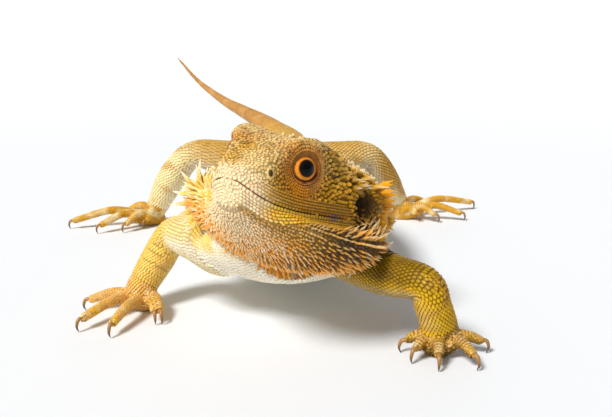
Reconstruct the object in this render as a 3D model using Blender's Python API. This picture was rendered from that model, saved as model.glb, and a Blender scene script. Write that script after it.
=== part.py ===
"""A life-size bearded dragon standing on four feet, with its head turned to its right.

Lengths are in millimetres and angles in degrees until finish_part() turns them to metres.
The animal faces -Y, its own left is +X, +Z is up, and the floor is at height 0.
Each row of a form is x, y, z of its centre, then its half width, its height above and its depth below.
"""
import math
import random

import bmesh
import bpy
import numpy as np
from mathutils import Matrix, Vector
from mathutils.bvhtree import BVHTree

MM = 0.001
GAP = 0.34  # clearance kept between neighbouring nodes
SINK = 1.6  # how deep the root of a spine goes into its node
WELD = 0.0005  # vertices nearer than this count as one when a result is checked
SPINE_CLEARANCE = 1.5  # a spine nearer than this to a neighbouring node is left out
SEED = 11
FLOOR_SINK = 0.8  # how far palms and soles pass the floor before they are cut flat
UP = Vector((0, 0, 1))

# Driving sizes of the animal
EYE_RADIUS = 4.7
LID_MIDDLE = 4.45
LID_THICK = 0.85
CLAW_RADIUS = 0.85
CLAW_TIP_RADIUS = 0.24
TOE_END_HEIGHT = 4.5

HEAD_PIVOT = (0.5, -66.0, 51.5)
HEAD_YAW = -28
HEAD_PITCH = -12
HEAD_ROLL = 7

# The head in its own frame, from the nape to the snout: distance forward (negative), crown height,
# brow half width and height, cheek half width, lip half width and height, throat height
HEAD_SECTIONS = (
    (5.0, 10.0, 10.0, 9.0, 17.0, 20.0, -5.6, -12.8),
    (-1.0, 12.4, 12.0, 11.3, 19.4, 21.8, -5.2, -13.5),
    (-7.0, 13.7, 12.8, 13.0, 19.3, 21.2, -4.8, -13.2),
    (-14.0, 14.6, 12.6, 14.9, 17.0, 19.2, -4.4, -12.4),
    (-21.0, 14.8, 12.4, 16.5, 14.8, 16.8, -4.0, -11.4),
    (-27.0, 14.1, 12.0, 16.2, 12.9, 14.8, -3.6, -10.4),
    (-32.5, 12.3, 9.8, 13.8, 11.1, 12.9, -2.9, -9.2),
    (-38.0, 9.7, 7.6, 10.0, 9.0, 10.8, -1.8, -7.6),
    (-42.5, 7.2, 5.8, 7.2, 7.2, 8.6, -0.2, -5.6),
    (-45.2, 5.4, 3.9, 5.2, 5.0, 6.0, 1.1, -3.6),
    (-46.4, 4.2, 2.0, 4.0, 2.6, 3.0, 1.9, -1.2),
)
SNOUT_TIP = (0, -46.9, 1.9)
LIP_INSET = 0.9
LIP_DROP = 1.3
JAW_DROP = 2.9
EYE_CENTRE = (9.6, -26.2, 7.0)
EYE_AIM = (0.82, -0.54, 0.20)
EAR_CENTRE = (21.6, -2.6, -1.6)
EAR_RADII = (3.4, 2.7, 3.0)
EAR_SPACE = 4.6  # no spine is rooted nearer than this to the ear's centre
NOSTRIL_CENTRE = (7.6, -39.4, 4.9)
NOSTRIL_RADIUS = 0.75

BEARD_LEAN = (0.17, 0, 1)
BEARD_ROWS = (
    (-20.6, -104.0, 56.6, 5.5, 2.6, 3.6),
    (-18.0, -98.5, 53.6, 11.7, 3.0, 6.9),
    (-14.9, -92.6, 50.4, 18.0, 3.2, 10.5),
    (-11.9, -86.8, 47.4, 24.2, 3.4, 13.2),
    (-9.3, -81.0, 45.0, 29.6, 3.8, 14.9),
    (-7.5, -74.8, 43.2, 33.0, 5.0, 15.3),
    (-6.4, -68.6, 42.0, 32.6, 9.0, 13.8),
)
NECK_ROWS = (
    (0.5, -73.0, 49.5, 19.0, 12.0, 12.0),
    (0.5, -64.0, 46.5, 26.0, 12.0, 14.0),
    (-2.5, -52.0, 40.0, 28.0, 12.5, 15.0),
    (-5.0, -41.0, 35.5, 28.5, 12.0, 14.0),
)
TORSO_ROWS = (
    (-5.0, -74.0, 28.0, 12.0, 7.0, 9.0),
    (-5.5, -67.0, 30.0, 27.0, 12.0, 15.0),
    (-6.0, -57.0, 32.5, 34.5, 15.0, 18.8),
    (-6.0, -42.0, 33.0, 36.5, 16.5, 19.2),
    (-7.0, -20.0, 31.5, 39.0, 16.5, 18.0),
    (-8.0, 4.0, 30.5, 41.5, 16.5, 18.0),
    (-9.5, 28.0, 30.5, 38.0, 16.5, 18.5),
    (-10.5, 48.0, 31.5, 30.0, 16.0, 18.0),
    (-11.0, 64.0, 32.5, 23.0, 15.0, 16.0),
    (-10.6, 79.0, 34.0, 17.0, 13.0, 13.5),
)
TAIL_ROWS = (
    (-10.6, 78.0, 33.9, 16.9, 12.9, 13.4),
    (-11.5, 97.0, 37.4, 11.4, 10.2, 10.2),
    (-17.5, 115.0, 41.0, 8.0, 7.6, 7.4),
    (-27.0, 138.0, 45.0, 5.6, 5.4, 5.2),
    (-40.6, 160.0, 49.2, 4.1, 4.0, 3.9),
    (-56.6, 190.0, 53.0, 3.0, 2.9, 2.9),
    (-72.6, 220.0, 58.8, 2.1, 2.1, 2.1),
    (-86.0, 245.0, 65.2, 1.5, 1.5, 1.5),
    (-100.3, 270.0, 75.5, 1.0, 1.0, 1.0),
    (-105.5, 279.0, 79.5, 0.6, 0.6, 0.6),
)
TAIL_CUTS = (3, 6)  # rows where the tail is parted in three

# Limbs run from inside the body to the wrist or ankle, and are parted at the elbow or knee
LIMBS = {
    "arm_right": {
        "upper": "upper_arm_right", "lower": "forearm_right", "cut": 3,
        "rows": ((-18, -56, 29.5, 11, 11, 12), (-31, -56, 29.5, 11, 10.5, 13),
                 (-41, -52.5, 29.5, 8.4, 8, 8), (-49.8, -44, 27.6, 6.2, 6.2, 6.2),
                 (-55.6, -44.2, 18.6, 6.3, 6.3, 6.3), (-60.4, -48, 10.8, 5.6, 5.6, 5.6)),
    },
    "arm_left": {
        "upper": "upper_arm_left", "lower": "forearm_left", "cut": 2,
        "rows": ((12, -62, 28.5, 10, 9.5, 10.5), (25.5, -76, 24.8, 7.4, 7.2, 7.6),
                 (37, -87, 25.0, 5.6, 5.6, 5.6), (40.0, -86.4, 17.8, 5.8, 5.8, 5.8),
                 (42.6, -84, 10.6, 6.0, 6.0, 6.0)),
    },
    "leg_right": {
        "upper": "thigh_right", "lower": "shank_right", "cut": 2,
        "rows": ((-22, 60, 34, 12, 11, 11), (-42, 61.5, 37, 9, 9, 9.5),
                 (-59.8, 64, 38.2, 6.9, 6.9, 6.9), (-72, 66, 25, 7.5, 7.5, 7.5),
                 (-79.8, 66.3, 11, 5.7, 5.7, 5.7)),
    },
    "leg_left": {
        "upper": "thigh_left", "lower": "shank_left", "cut": 2,
        "rows": ((0, 60, 34, 12, 11, 11), (17, 62, 36.5, 9, 9, 9.5),
                 (32.5, 65, 37.2, 6.9, 6.9, 6.9), (42.6, 70, 25, 6.9, 6.9, 6.9),
                 (51.0, 75.3, 11, 5.0, 5.0, 5.0)),
    },
}

# Where the digits leave the palm, as shares of its length, from the inner digit to the outer one
HAND_ROOTS = (0.4, 0.6, 0.66, 0.6, 0.4)
FOOT_ROOTS = (0.22, 0.5, 0.68, 0.74, 0.2)

# Each paw: the limb it ends, the length, half width and height of its palm, the thickness and arch of
# its digits, where they are rooted, and the floor points under their claws
PAWS = {
    "hand_right": {
        "limb": "arm_right", "palm": (6.0, 5.6, 7.6), "toe": 1.75, "arch": 6.6, "roots": HAND_ROOTS,
        "tips": ((-51.6, -62.7), (-53.8, -63.0), (-66.7, -73.4), (-78.8, -69.0), (-82.0, -51.0)),
    },
    "hand_left": {
        "limb": "arm_left", "palm": (5.4, 5.8, 7.6), "toe": 1.65, "arch": 6.4, "roots": HAND_ROOTS,
        "tips": ((31.2, -84.8), (33.6, -91.8), (40.8, -96.6), (52.6, -96.0), (58.2, -84.9)),
    },
    "foot_right": {
        "limb": "leg_right", "palm": (13.0, 5.2, 7.2), "toe": 1.85, "arch": 8.7, "roots": FOOT_ROOTS,
        "tips": ((-85.4, 54.8), (-94.4, 48.0), (-107.2, 46.5), (-124.2, 55.0), (-101.0, 76.0)),
    },
    "foot_left": {
        "limb": "leg_left", "palm": (13.0, 4.8, 7.0), "toe": 1.75, "arch": 8.6, "roots": FOOT_ROOTS,
        "tips": ((61.8, 68.6), (71.7, 66.6), (86.7, 70.6), (98.0, 95.5), (72.0, 96.0)),
    },
}

# Colour (linear), roughness
COLOURS = {
    "tan": ((0.52, 0.34, 0.12, 1), 0.6),
    "beard": ((0.62, 0.36, 0.14, 1), 0.6),
    "yellow": ((0.58, 0.38, 0.07, 1), 0.6),
    "cream": ((0.68, 0.55, 0.32, 1), 0.6),
    "tail": ((0.45, 0.26, 0.11, 1), 0.6),
    "eye": ((0.5, 0.17, 0.01, 1), 0.1),
    "horn": ((0.16, 0.08, 0.03, 1), 0.35),
}


def spline(rows, steps):
    """Rows eased through by Catmull-Rom, with steps rows to each span."""
    rows = np.array(rows, float)
    ends = np.vstack([2 * rows[0] - rows[1], rows, 2 * rows[-1] - rows[-2]])
    eased = []
    for i in range(len(rows) - 1):
        a, b, c, d = ends[i:i + 4]
        for k in range(steps):
            t = k / steps
            eased.append(0.5 * (2 * b + (c - a) * t + (2 * a - 5 * b + 4 * c - d) * t * t
                                + (3 * b - a - 3 * c + d) * t ** 3))
    return np.array(eased + [rows[-1]])


def rings_of(rows, sides, steps, up=UP):
    """Elliptic rings, carried along the path of the rows without twisting, as an array ring, side, xyz."""
    eased = spline(rows, steps)
    centres = [Vector(r[:3]) for r in eased]
    rings = []
    upward = Vector(up)
    for i, row in enumerate(eased):
        ahead = (centres[min(i + 1, len(centres) - 1)] - centres[max(i - 1, 0)]).normalized()
        upward = (upward - ahead * upward.dot(ahead)).normalized()
        side = ahead.cross(upward)
        ring = []
        for k in range(sides):
            turn = 2 * math.pi * k / sides
            rise = math.sin(turn) * (row[4] if math.sin(turn) > 0 else row[5])
            ring.append(centres[i] + side * math.cos(turn) * row[3] + upward * rise)
        rings.append(ring)
    return np.array(rings)


def domed(rings, first, last):
    """The rings with smaller ones added beyond each end, first and last being how far that end bulges."""
    made = list(rings)
    for bulge, at, inner in ((first, 0, 1), (last, -1, -2)):
        if bulge < 1:
            continue
        middle = rings[at].mean(0)
        out = middle - rings[inner].mean(0)
        out /= np.linalg.norm(out)
        for angle in (32, 62):
            turn = math.radians(angle)
            ring = middle + (rings[at] - middle) * math.cos(turn) + out * bulge * math.sin(turn)
            made = [ring] + made if at == 0 else made + [ring]
    return np.array(made)


def add_object(name, bm):
    bmesh.ops.recalc_face_normals(bm, faces=bm.faces)
    mesh = bpy.data.meshes.new(name)
    bm.to_mesh(mesh)
    bm.free()
    made = bpy.data.objects.new(name, mesh)
    bpy.context.scene.collection.objects.link(made)
    return made


def skin(name, rings, start=None, end=None):
    """A closed mesh over the rings. start and end are poles, or None for a flat end."""
    bm = bmesh.new()
    loops = [[bm.verts.new(p) for p in ring] for ring in rings]
    count = len(loops[0])
    for a, b in zip(loops, loops[1:]):
        for k in range(count):
            bm.faces.new((a[k], a[(k + 1) % count], b[(k + 1) % count], b[k]))
    for loop, pole in ((loops[0], start), (loops[-1], end)):
        if pole is None:
            bm.faces.new(loop)
            continue
        tip = bm.verts.new(pole)
        for k in range(count):
            bm.faces.new((loop[k], loop[(k + 1) % count], tip))
    return add_object(name, bm)


def rounded_loft(name, rings, first=0, last=0):
    """A loft over rings, with a dome that bulges by first or last at each end, or a flat end for 0."""
    poles = []
    for bulge, at, inner in ((first, 0, 1), (last, -1, -2)):
        middle = rings[at].mean(0)
        out = middle - rings[inner].mean(0)
        poles.append(middle + out / np.linalg.norm(out) * bulge if bulge else None)
    return skin(name, domed(rings, first, last), *poles)


def ball(name, centre, radii, segments=16, rings=10, frame=Matrix()):
    bm = bmesh.new()
    bmesh.ops.create_uvsphere(bm, u_segments=segments, v_segments=rings, radius=1)
    bm.transform(frame @ Matrix.Translation(centre) @ Matrix.Diagonal((*radii, 1)))
    return add_object(name, bm)


def aimed(place, direction, roll_from=UP):
    """A frame at place with its Z along direction."""
    along = Vector(direction).normalized()
    side = Vector(roll_from).cross(along)
    if side.length < 1e-3:
        side = Vector((1, 0, 0))
    side.normalize()
    turn = Matrix((side, along.cross(side), along)).transposed()
    return Matrix.Translation(place) @ turn.to_4x4()


def spine(place, direction, length, radius, segments=4):
    """A tapered spine that stands on place and is sunk below it. Its last vertex is the tip."""
    bm = bmesh.new()
    turns = [2 * math.pi * k / segments for k in range(segments)]
    foot = [bm.verts.new((radius * math.cos(t), radius * math.sin(t), -SINK)) for t in turns]
    tip = bm.verts.new((0, 0, length))
    bm.faces.new(foot)
    for k in range(segments):
        bm.faces.new((foot[k], foot[(k + 1) % segments], tip))
    bm.transform(aimed(place, direction))
    return add_object("spine", bm)


def is_closed(mesh):
    bm = bmesh.new()
    bm.from_mesh(mesh)
    bmesh.ops.remove_doubles(bm, verts=bm.verts, dist=WELD)
    sound = len(bm.faces) > 3 and all(v.is_manifold for v in bm.verts)
    sound = sound and all(len(e.link_faces) == 2 for e in bm.edges)
    bm.free()
    return sound


def boolean(target, others, operation):
    """Applies one Boolean between target and others, which are removed."""
    helpers = bpy.data.collections.new("helpers")
    bpy.context.scene.collection.children.link(helpers)
    for other in others:
        helpers.objects.link(other)
    modifier = target.modifiers.new(operation, "BOOLEAN")
    modifier.operation = operation
    modifier.operand_type = "COLLECTION"
    modifier.collection = helpers
    for solver in ("MANIFOLD", "EXACT"):
        modifier.solver = solver
        graph = bpy.context.evaluated_depsgraph_get()
        made = bpy.data.meshes.new_from_object(target.evaluated_get(graph))
        if is_closed(made):
            break
    target.modifiers.clear()
    target.data = made
    for other in others:
        bpy.data.objects.remove(other)
    bpy.data.collections.remove(helpers)
    return target


def keep_largest(target):
    """Leaves only the closed surface with the greatest volume."""
    bm = bmesh.new()
    bm.from_mesh(target.data)
    left = set(bm.verts)
    shells = []
    while left:
        shell = {left.pop()}
        edge = list(shell)
        while edge:
            near = {e.other_vert(v) for v in edge for e in v.link_edges} - shell
            shell |= near
            edge = list(near)
        left -= shell
        shells.append(shell)

    def size(shell):
        points = np.array([v.co for v in shell])
        return float(np.prod(np.ptp(points, axis=0)))

    largest = max(shells, key=size)
    bmesh.ops.delete(bm, geom=[v for v in bm.verts if v not in largest], context="VERTS")
    bm.to_mesh(target.data)
    bm.free()
    return target


def grown(source, amount=GAP):
    """A copy of source with its surface moved out along its normals."""
    bm = bmesh.new()
    bm.from_mesh(source.data)
    bm.normal_update()
    for vertex in bm.verts:
        vertex.co += vertex.normal * amount * vertex.calc_shell_factor()
    return add_object("grown", bm)


def boxes_touch(a, b):
    first, second = (np.array([v.co for v in o.data.vertices]) for o in (a, b))
    return bool((first.min(0) < second.max(0) + GAP).all()
                and (second.min(0) < first.max(0) + GAP).all())


def clear_of(target, *neighbours):
    """Cuts target back so that it keeps the gap to each neighbour's form."""
    for neighbour in neighbours:
        if boxes_touch(target, neighbour):
            boolean(target, [grown(neighbour)], "DIFFERENCE")
            keep_largest(target)
    return target


def fused(target, pieces):
    if pieces:
        boolean(target, pieces, "UNION")
    return keep_largest(target)


def near_any(trees, point):
    """Whether the point is inside one of the trees' forms, or too near to it for a spine."""
    for tree in trees:
        place, normal, _, distance = tree.find_nearest(point)
        if distance < SPINE_CLEARANCE or normal.dot(point - place) < 0:
            return True
    return False


def standing_clear(spines, neighbours):
    """The spines whose outer parts are clear of the neighbours. The others are removed."""
    graph = bpy.context.evaluated_depsgraph_get()
    trees = [BVHTree.FromObject(n, graph) for n in neighbours]
    kept = []
    for made in spines:
        points = [v.co for v in made.data.vertices]
        foot = sum(points[:-1], Vector()) / (len(points) - 1)
        if any(near_any(trees, foot.lerp(points[-1], share)) for share in (0.55, 0.8, 1)):
            bpy.data.objects.remove(made)
        else:
            kept.append(made)
    return kept


def copy_of(form):
    made = bpy.data.objects.new(form.name, form.data.copy())
    bpy.context.scene.collection.objects.link(made)
    return made


def surface(rings, along, angle):
    """The point of the rings' surface at a share of their length and an angle, its normal and the way back."""
    last, sides = len(rings) - 1, rings.shape[1]

    def at(u, v):
        i, k = min(int(u), last - 1), int(v) % sides
        fu, fv = u - i, v - math.floor(v)
        near = rings[i, k] * (1 - fv) + rings[i, (k + 1) % sides] * fv
        far = rings[i + 1, k] * (1 - fv) + rings[i + 1, (k + 1) % sides] * fv
        return near * (1 - fu) + far * fu

    u, v = along * last, (angle % 360) / 360 * sides
    step = 0.25
    back = Vector(at(min(u + step, last), v) - at(max(u - step, 0), v)).normalized()
    round_it = Vector(at(u, v + step) - at(u, v - step)).normalized()
    normal = back.cross(round_it).normalized()
    place = Vector(at(u, v))
    if normal.dot(place - Vector(rings[min(int(u), last)].mean(0))) < 0:
        normal = -normal
    return place, normal, back


def spine_row(rings, along, angles, length, radius, lift, draw, segments=4):
    """Spines at these angles of one ring, leaning back, lift being how much of the normal they follow."""
    made = []
    for angle in angles:
        place, normal, back = surface(rings, along, angle)
        direction = normal * lift + back * (1 - lift)
        size = draw.uniform(0.85, 1.15)
        made.append(spine(place, direction, length * size, radius, segments))
    return made


def head_rings():
    """The head's sections, smoothed round and along, in its own frame, front first."""
    sections = []
    for y, crown, brow_w, brow_z, cheek_w, lip_w, lip_z, throat in reversed(HEAD_SECTIONS):
        inset = min(LIP_INSET, lip_w * 0.2)
        drop = min(1.0, lip_w / 9)
        half = (
            (0, crown),
            (0.5 * brow_w, crown * 0.55 + brow_z * 0.45),
            (0.86 * brow_w, brow_z),
            (brow_w + 0.06 * cheek_w, brow_z - 0.12 * (brow_z - lip_z)),
            (cheek_w, 0.48 * (brow_z + lip_z)),
            (lip_w * 0.97, lip_z + 0.16 * (brow_z - lip_z)),
            (lip_w, lip_z),
            (lip_w - inset, lip_z - LIP_DROP * drop),
            (lip_w - inset * 0.4, lip_z - JAW_DROP * drop),
            (0.62 * lip_w, throat + 1.6),
            (0, throat),
        )
        other = [(-x, z) for x, z in half[-2:0:-1]]
        sections.append([(x, y, z) for x, z in list(half) + other])
    along = spline(np.array(sections).reshape(len(sections), -1), 2)
    return along.reshape(len(along), -1, 3)


def head_frame():
    turn = (Matrix.Rotation(math.radians(HEAD_YAW), 4, "Z")
            @ Matrix.Rotation(math.radians(HEAD_PITCH), 4, "X")
            @ Matrix.Rotation(math.radians(HEAD_ROLL), 4, "Y"))
    return Matrix.Translation(HEAD_PIVOT) @ turn


def mirrored(place, side):
    return Vector((place[0] * side, place[1], place[2]))


def lid(side, frame):
    """The rim of the eyelids, a ring round the open eye."""
    aim = mirrored(EYE_AIM, side).normalized()
    reach = math.sqrt(EYE_RADIUS ** 2 - (LID_MIDDLE - LID_THICK) ** 2)
    bpy.ops.mesh.primitive_torus_add(major_radius=LID_MIDDLE, minor_radius=LID_THICK,
                                     major_segments=18, minor_segments=6)
    made = bpy.context.object
    made.data.transform(frame @ aimed(mirrored(EYE_CENTRE, side) + aim * reach, aim))
    return made


def nape_spines(frame, draw):
    """Arcs of spines across the back of the head, and down behind each ear where they are longest."""
    made = []
    for side in (-1, 1):
        for back, reach, count in ((-4.5, 0.97, 6), (-0.5, 1.0, 8)):
            for k in range(count):
                share = k / (count - 1)
                turn = math.radians(66 - 122 * share)
                place = (side * (3.5 + 18.6 * math.cos(turn)) * reach, back + 2.5 * share,
                         (-1 + 13.2 * math.sin(turn)) * reach)
                if (Vector(place) - mirrored(EAR_CENTRE, side)).length < EAR_SPACE:
                    continue
                lean = Vector((side * (0.5 + 0.5 * math.cos(turn)), 0.85, 0.3 * math.sin(turn)))
                length = draw.uniform(3.2, 4.2) + 4.2 * math.sin(math.pi * share) ** 2
                made.append(spine(frame @ Vector(place), frame.to_3x3() @ lean, length, 1.15, 5))
    return made


def make_head():
    head = skin("head_form", head_rings(), start=Vector(SNOUT_TIP))
    head.data.transform(head_frame())
    return head


def hollowed(head):
    """Cuts the eye sockets, ears and nostrils into the head."""
    frame = head_frame()
    hollows = []
    for side in (-1, 1):
        room = EYE_RADIUS + GAP
        hollows.append(ball("socket", mirrored(EYE_CENTRE, side), (room,) * 3, 20, 12, frame))
        hollows.append(ball("ear", mirrored(EAR_CENTRE, side), EAR_RADII, 12, 8, frame))
        hollows.append(ball("nostril", mirrored(NOSTRIL_CENTRE, side), (NOSTRIL_RADIUS,) * 3, 8, 6,
                            frame))
    return keep_largest(boolean(head, hollows, "DIFFERENCE"))


def make_eye(side):
    name = "eye_left" if side > 0 else "eye_right"
    return ball(name, mirrored(EYE_CENTRE, side), (EYE_RADIUS,) * 3, 20, 12, head_frame())


def beard_spines(rings, draw):
    """Rows of spines across the beard, longer towards its rim, pointing back and out from the chin."""
    spines = []
    rows = ((0.30, 7, 2.0, 0.8), (0.41, 9, 2.6, 0.9), (0.52, 11, 3.1, 1.0), (0.63, 13, 3.7, 1.05),
            (0.74, 15, 4.3, 1.15), (0.84, 17, 4.9, 1.2), (0.93, 19, 5.4, 1.25), (0.99, 21, 5.4, 1.25))
    for n, (along, count, length, radius) in enumerate(rows):
        reach = 155 + 85 * along
        angles = [-90 - reach / 2 + reach * (k + 0.5 * (n % 2)) / (count - 0.5) for k in range(count)]
        spines += spine_row(rings, along, angles, length, radius, 0.46, draw)
    return spines


def neck_spines(rings, draw):
    spines = []
    for along in (0.52, 0.72):
        for middle in (14, 166):
            spines += spine_row(rings, along, (middle - 14, middle, middle + 14), 3.2, 1.0, 0.45, draw)
    return spines


def fringe_spines(rings, draw):
    """Two rows of spines along each side of the torso."""
    spines = []
    for n in range(17):
        along = 0.34 + 0.40 * n / 16
        spines += spine_row(rings, along, (-3, 183), 4.6, 1.25, 0.55, draw)
        spines += spine_row(rings, along + 0.012, (-13, 193), 3.6, 1.1, 0.5, draw)
    return spines


def make_tail():
    """Three lengths of tail, each a gap behind what comes before it."""
    rings = rings_of(TAIL_ROWS, 14, 2)
    cuts = [0] + [2 * c for c in TAIL_CUTS] + [len(rings) - 1]
    made = [rounded_loft("torso_end", rings_of(TORSO_ROWS, 24, 2), 5, 0)]
    for name, first, last in zip(("tail_base", "tail_middle", "tail_tip"), cuts, cuts[1:]):
        length = rounded_loft(name, rings[first:last + 1], 0, 0.5 if last == cuts[-1] else 0)
        made.append(clear_of(length, made[-1]))
    bpy.data.objects.remove(made.pop(0))
    return made


def make_limb(limb):
    rings = rings_of(limb["rows"], 14, 3)
    cut = limb["cut"] * 3
    upper = rounded_loft(limb["upper"] + "_form", rings[:cut + 1], 3, 0)
    lower = rounded_loft(limb["lower"] + "_form", rings[cut:], 0, 0)
    return upper, clear_of(lower, upper)


def digit_rows(root, claw_point, radius, arch):
    """A digit that arches from its root over a knuckle and down towards the claw's point."""
    tip = Vector((*claw_point, 0))
    reach = tip - root
    ahead = reach.normalized()
    places = (
        (root, 5.0),
        (root + reach * 0.42, arch),
        (tip - ahead * 1.7, TOE_END_HEIGHT),
    )
    radii = (radius * 1.2, radius, radius * 0.78)
    return [(*(p.xy), z, r, r, r) for (p, z), r in zip(places, radii)]


def claw_rows(digit, claw_point):
    """A claw that bows out from the digit's end and comes down to its point on the floor."""
    end = Vector(digit[-1][:3])
    point = Vector((*claw_point, CLAW_TIP_RADIUS))
    ahead = Vector((point.x - end.x, point.y - end.y, 0)).normalized()
    bow = end + ahead * 1.75 + Vector((0, 0, -1.3))
    radii = (CLAW_RADIUS, CLAW_RADIUS * 0.82, CLAW_TIP_RADIUS)
    return [(*p, r, r, r) for p, r in zip((end, bow, point), radii)]


def floor_block():
    bm = bmesh.new()
    bmesh.ops.create_cube(bm, size=600)
    bm.transform(Matrix.Translation((0, 0, -300)))
    return add_object("floor_block", bm)


def make_paw(name, paw, shin):
    """A hand or foot with its digits in one node, cut clear of the shin above, and its claws."""
    wrist_rows = LIMBS[paw["limb"]]["rows"]
    wrist, before = Vector(wrist_rows[-1][:3]), Vector(wrist_rows[-2][:3])
    down = (wrist - before).normalized()
    radius = wrist_rows[-1][3]
    length, width, height = paw["palm"]
    tips = [Vector((*tip, 0)) for tip in paw["tips"]]
    heel = Vector((*wrist.xy, 0))
    ahead = (sum(tips[1:4], Vector()) / 3 - heel).normalized()
    side = ahead.cross(UP)
    stub = [(*(wrist + down * reach), radius * size, radius * size, radius * size)
            for reach, size in ((-1.0, 1.0), (3.0, 0.96), (5.6, 0.84))]
    flesh = ((-1.4, 0.66, 0.72, 1), (0.3 * length, 0.9, 1.0, 1), (0.7 * length, 1.0, 0.9, -1),
             (length, 0.84, 0.76, -3))
    palm_rows = []
    for reach, wide, tall, sunk in flesh:
        place = heel + ahead * reach
        half = (height * tall + FLOOR_SINK * sunk) / 2
        palm_rows.append((place.x, place.y, height * tall - half, width * wide, half, half))
    palm = rounded_loft(name, rings_of(palm_rows, 12, 1), 1.8, 1.4)
    pieces = [rounded_loft("stub", rings_of(stub, 14, 1, ahead), 0, 1.5)]
    claws = []
    for number, (tip, share) in enumerate(zip(tips, paw["roots"])):
        middle = heel + ahead * length * share
        off = max(-0.7, min(0.7, (tip - middle).dot(side) * 0.4 / width)) * width
        root = middle + side * off - ahead * abs(off) * 0.3
        size = paw["toe"] * (1 + 0.02 * number)
        digit = digit_rows(root, tip.xy, size, paw["arch"])
        toe = rounded_loft("toe", rings_of(digit, 7, 2), 1.2, 1.0)
        claw_rings = rings_of(claw_rows(digit, tip.xy), 6, 1, (tip - root).normalized())
        claw = rounded_loft(f"claw_{name}_{number + 1}", claw_rings, 0, 0.1)
        claws.append(clear_of(claw, toe))
        pieces.append(toe)
    fused(palm, pieces)
    boolean(palm, [floor_block()], "DIFFERENCE")
    return clear_of(palm, shin), claws


def paint(node, kind):
    colour, rough = COLOURS[kind]
    material = bpy.data.materials.new(f"{node.name}_{kind}")
    material.use_nodes = True
    shader = material.node_tree.nodes["Principled BSDF"]
    shader.inputs["Base Color"].default_value = colour
    shader.inputs["Roughness"].default_value = rough
    shader.inputs["Metallic"].default_value = 0
    node.data.materials.clear()
    node.data.materials.append(material)


def finish_part(nodes):
    """Turns the nodes to metres and centres the animal's box over the origin, standing on the floor."""
    points = np.vstack([[v.co for v in n.data.vertices] for n, _ in nodes])
    low, high = points.min(0), points.max(0)
    stand = bpy.data.objects.new("bearded_dragon", None)
    stand.location = (-(low[0] + high[0]) / 2 * MM, -(low[1] + high[1]) / 2 * MM, 0)
    home = bpy.data.collections.new("bearded_dragon")
    bpy.context.scene.collection.children.link(home)
    home.objects.link(stand)
    for node, kind in nodes:
        node.data.transform(Matrix.Scale(MM, 4))
        paint(node, kind)
        node.data.shade_smooth()
        node.data.set_sharp_from_angle(angle=math.radians(50))
        node.parent = stand
        bpy.context.scene.collection.objects.unlink(node)
        home.objects.link(node)


def make_flesh(draw):
    """The head, beard, neck, torso and limbs, each with its spines and cut clear of those before it."""
    rings = {
        "torso": rings_of(TORSO_ROWS, 24, 2),
        "neck": rings_of(NECK_ROWS, 24, 3),
        "beard": rings_of(BEARD_ROWS, 24, 2, BEARD_LEAN),
    }
    forms = {
        "torso": rounded_loft("torso_form", rings["torso"], 5, 0),
        "neck": rounded_loft("neck_form", rings["neck"], 4, 4),
        "head": make_head(),
        "beard": rounded_loft("beard_form", rings["beard"], 3, 5),
    }
    for limb in LIMBS.values():
        forms[limb["upper"]], forms[limb["lower"]] = make_limb(limb)
    frame = head_frame()
    spines = {
        "torso": fringe_spines(rings["torso"], draw),
        "neck": neck_spines(rings["neck"], draw),
        "head": nape_spines(frame, draw),
        "beard": beard_spines(rings["beard"], draw),
    }
    nodes = {}
    for name, form in forms.items():
        node = copy_of(form)
        node.name = name
        others = [other for other in forms.values() if other != form]
        pieces = standing_clear(spines.get(name, []), others)
        if name == "head":
            pieces += [lid(s, frame) for s in (-1, 1)]
        fused(node, pieces)
        clear_of(node, *[forms[before] for before in ("torso", "neck", "head", "beard")
                         if before in nodes])
        nodes[name] = hollowed(node) if name == "head" else node
    for form in forms.values():
        bpy.data.objects.remove(form)
    return nodes


def make_dragon():
    flesh = make_flesh(random.Random(SEED))
    kinds = {"torso": "cream", "neck": "tan", "head": "tan", "beard": "beard"}
    nodes = [(node, kinds.get(name, "yellow")) for name, node in flesh.items()]
    nodes += [(length, "tail") for length in make_tail()]
    for name, paw in PAWS.items():
        palm, claws = make_paw(name, paw, flesh[LIMBS[paw["limb"]]["lower"]])
        nodes.append((palm, "yellow"))
        nodes += [(claw, "horn") for claw in claws]
    nodes += [(make_eye(side), "eye") for side in (-1, 1)]
    finish_part(nodes)


for old in list(bpy.data.objects):
    bpy.data.objects.remove(old)
make_dragon()
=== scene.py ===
import math
import random
from itertools import product

import bpy
import numpy as np
from mathutils import Matrix, Vector, noise
from mathutils.bvhtree import BVHTree
from mathutils.kdtree import KDTree


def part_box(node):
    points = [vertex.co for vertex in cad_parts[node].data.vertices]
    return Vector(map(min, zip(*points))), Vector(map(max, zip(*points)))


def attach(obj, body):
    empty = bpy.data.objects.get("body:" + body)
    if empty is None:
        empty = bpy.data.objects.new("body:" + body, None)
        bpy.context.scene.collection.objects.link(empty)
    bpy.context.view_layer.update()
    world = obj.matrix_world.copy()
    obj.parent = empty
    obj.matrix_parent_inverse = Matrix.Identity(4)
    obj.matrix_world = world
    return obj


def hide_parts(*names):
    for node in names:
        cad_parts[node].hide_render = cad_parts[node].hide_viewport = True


# A bearded dragon in its skin of keeled scales. It is made in millimetres, facing -Y on a floor at height 0,
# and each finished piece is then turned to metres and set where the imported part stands.
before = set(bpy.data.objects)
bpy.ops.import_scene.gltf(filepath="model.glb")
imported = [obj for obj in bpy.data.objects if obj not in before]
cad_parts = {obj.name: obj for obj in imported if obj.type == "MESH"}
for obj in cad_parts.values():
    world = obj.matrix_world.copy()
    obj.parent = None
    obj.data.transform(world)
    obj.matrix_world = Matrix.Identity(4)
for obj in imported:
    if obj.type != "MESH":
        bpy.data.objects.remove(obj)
bpy.ops.object.select_all(action="DESELECT")
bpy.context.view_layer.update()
draw = random.Random(5)
upward = Vector((0, 0, 1))

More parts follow.
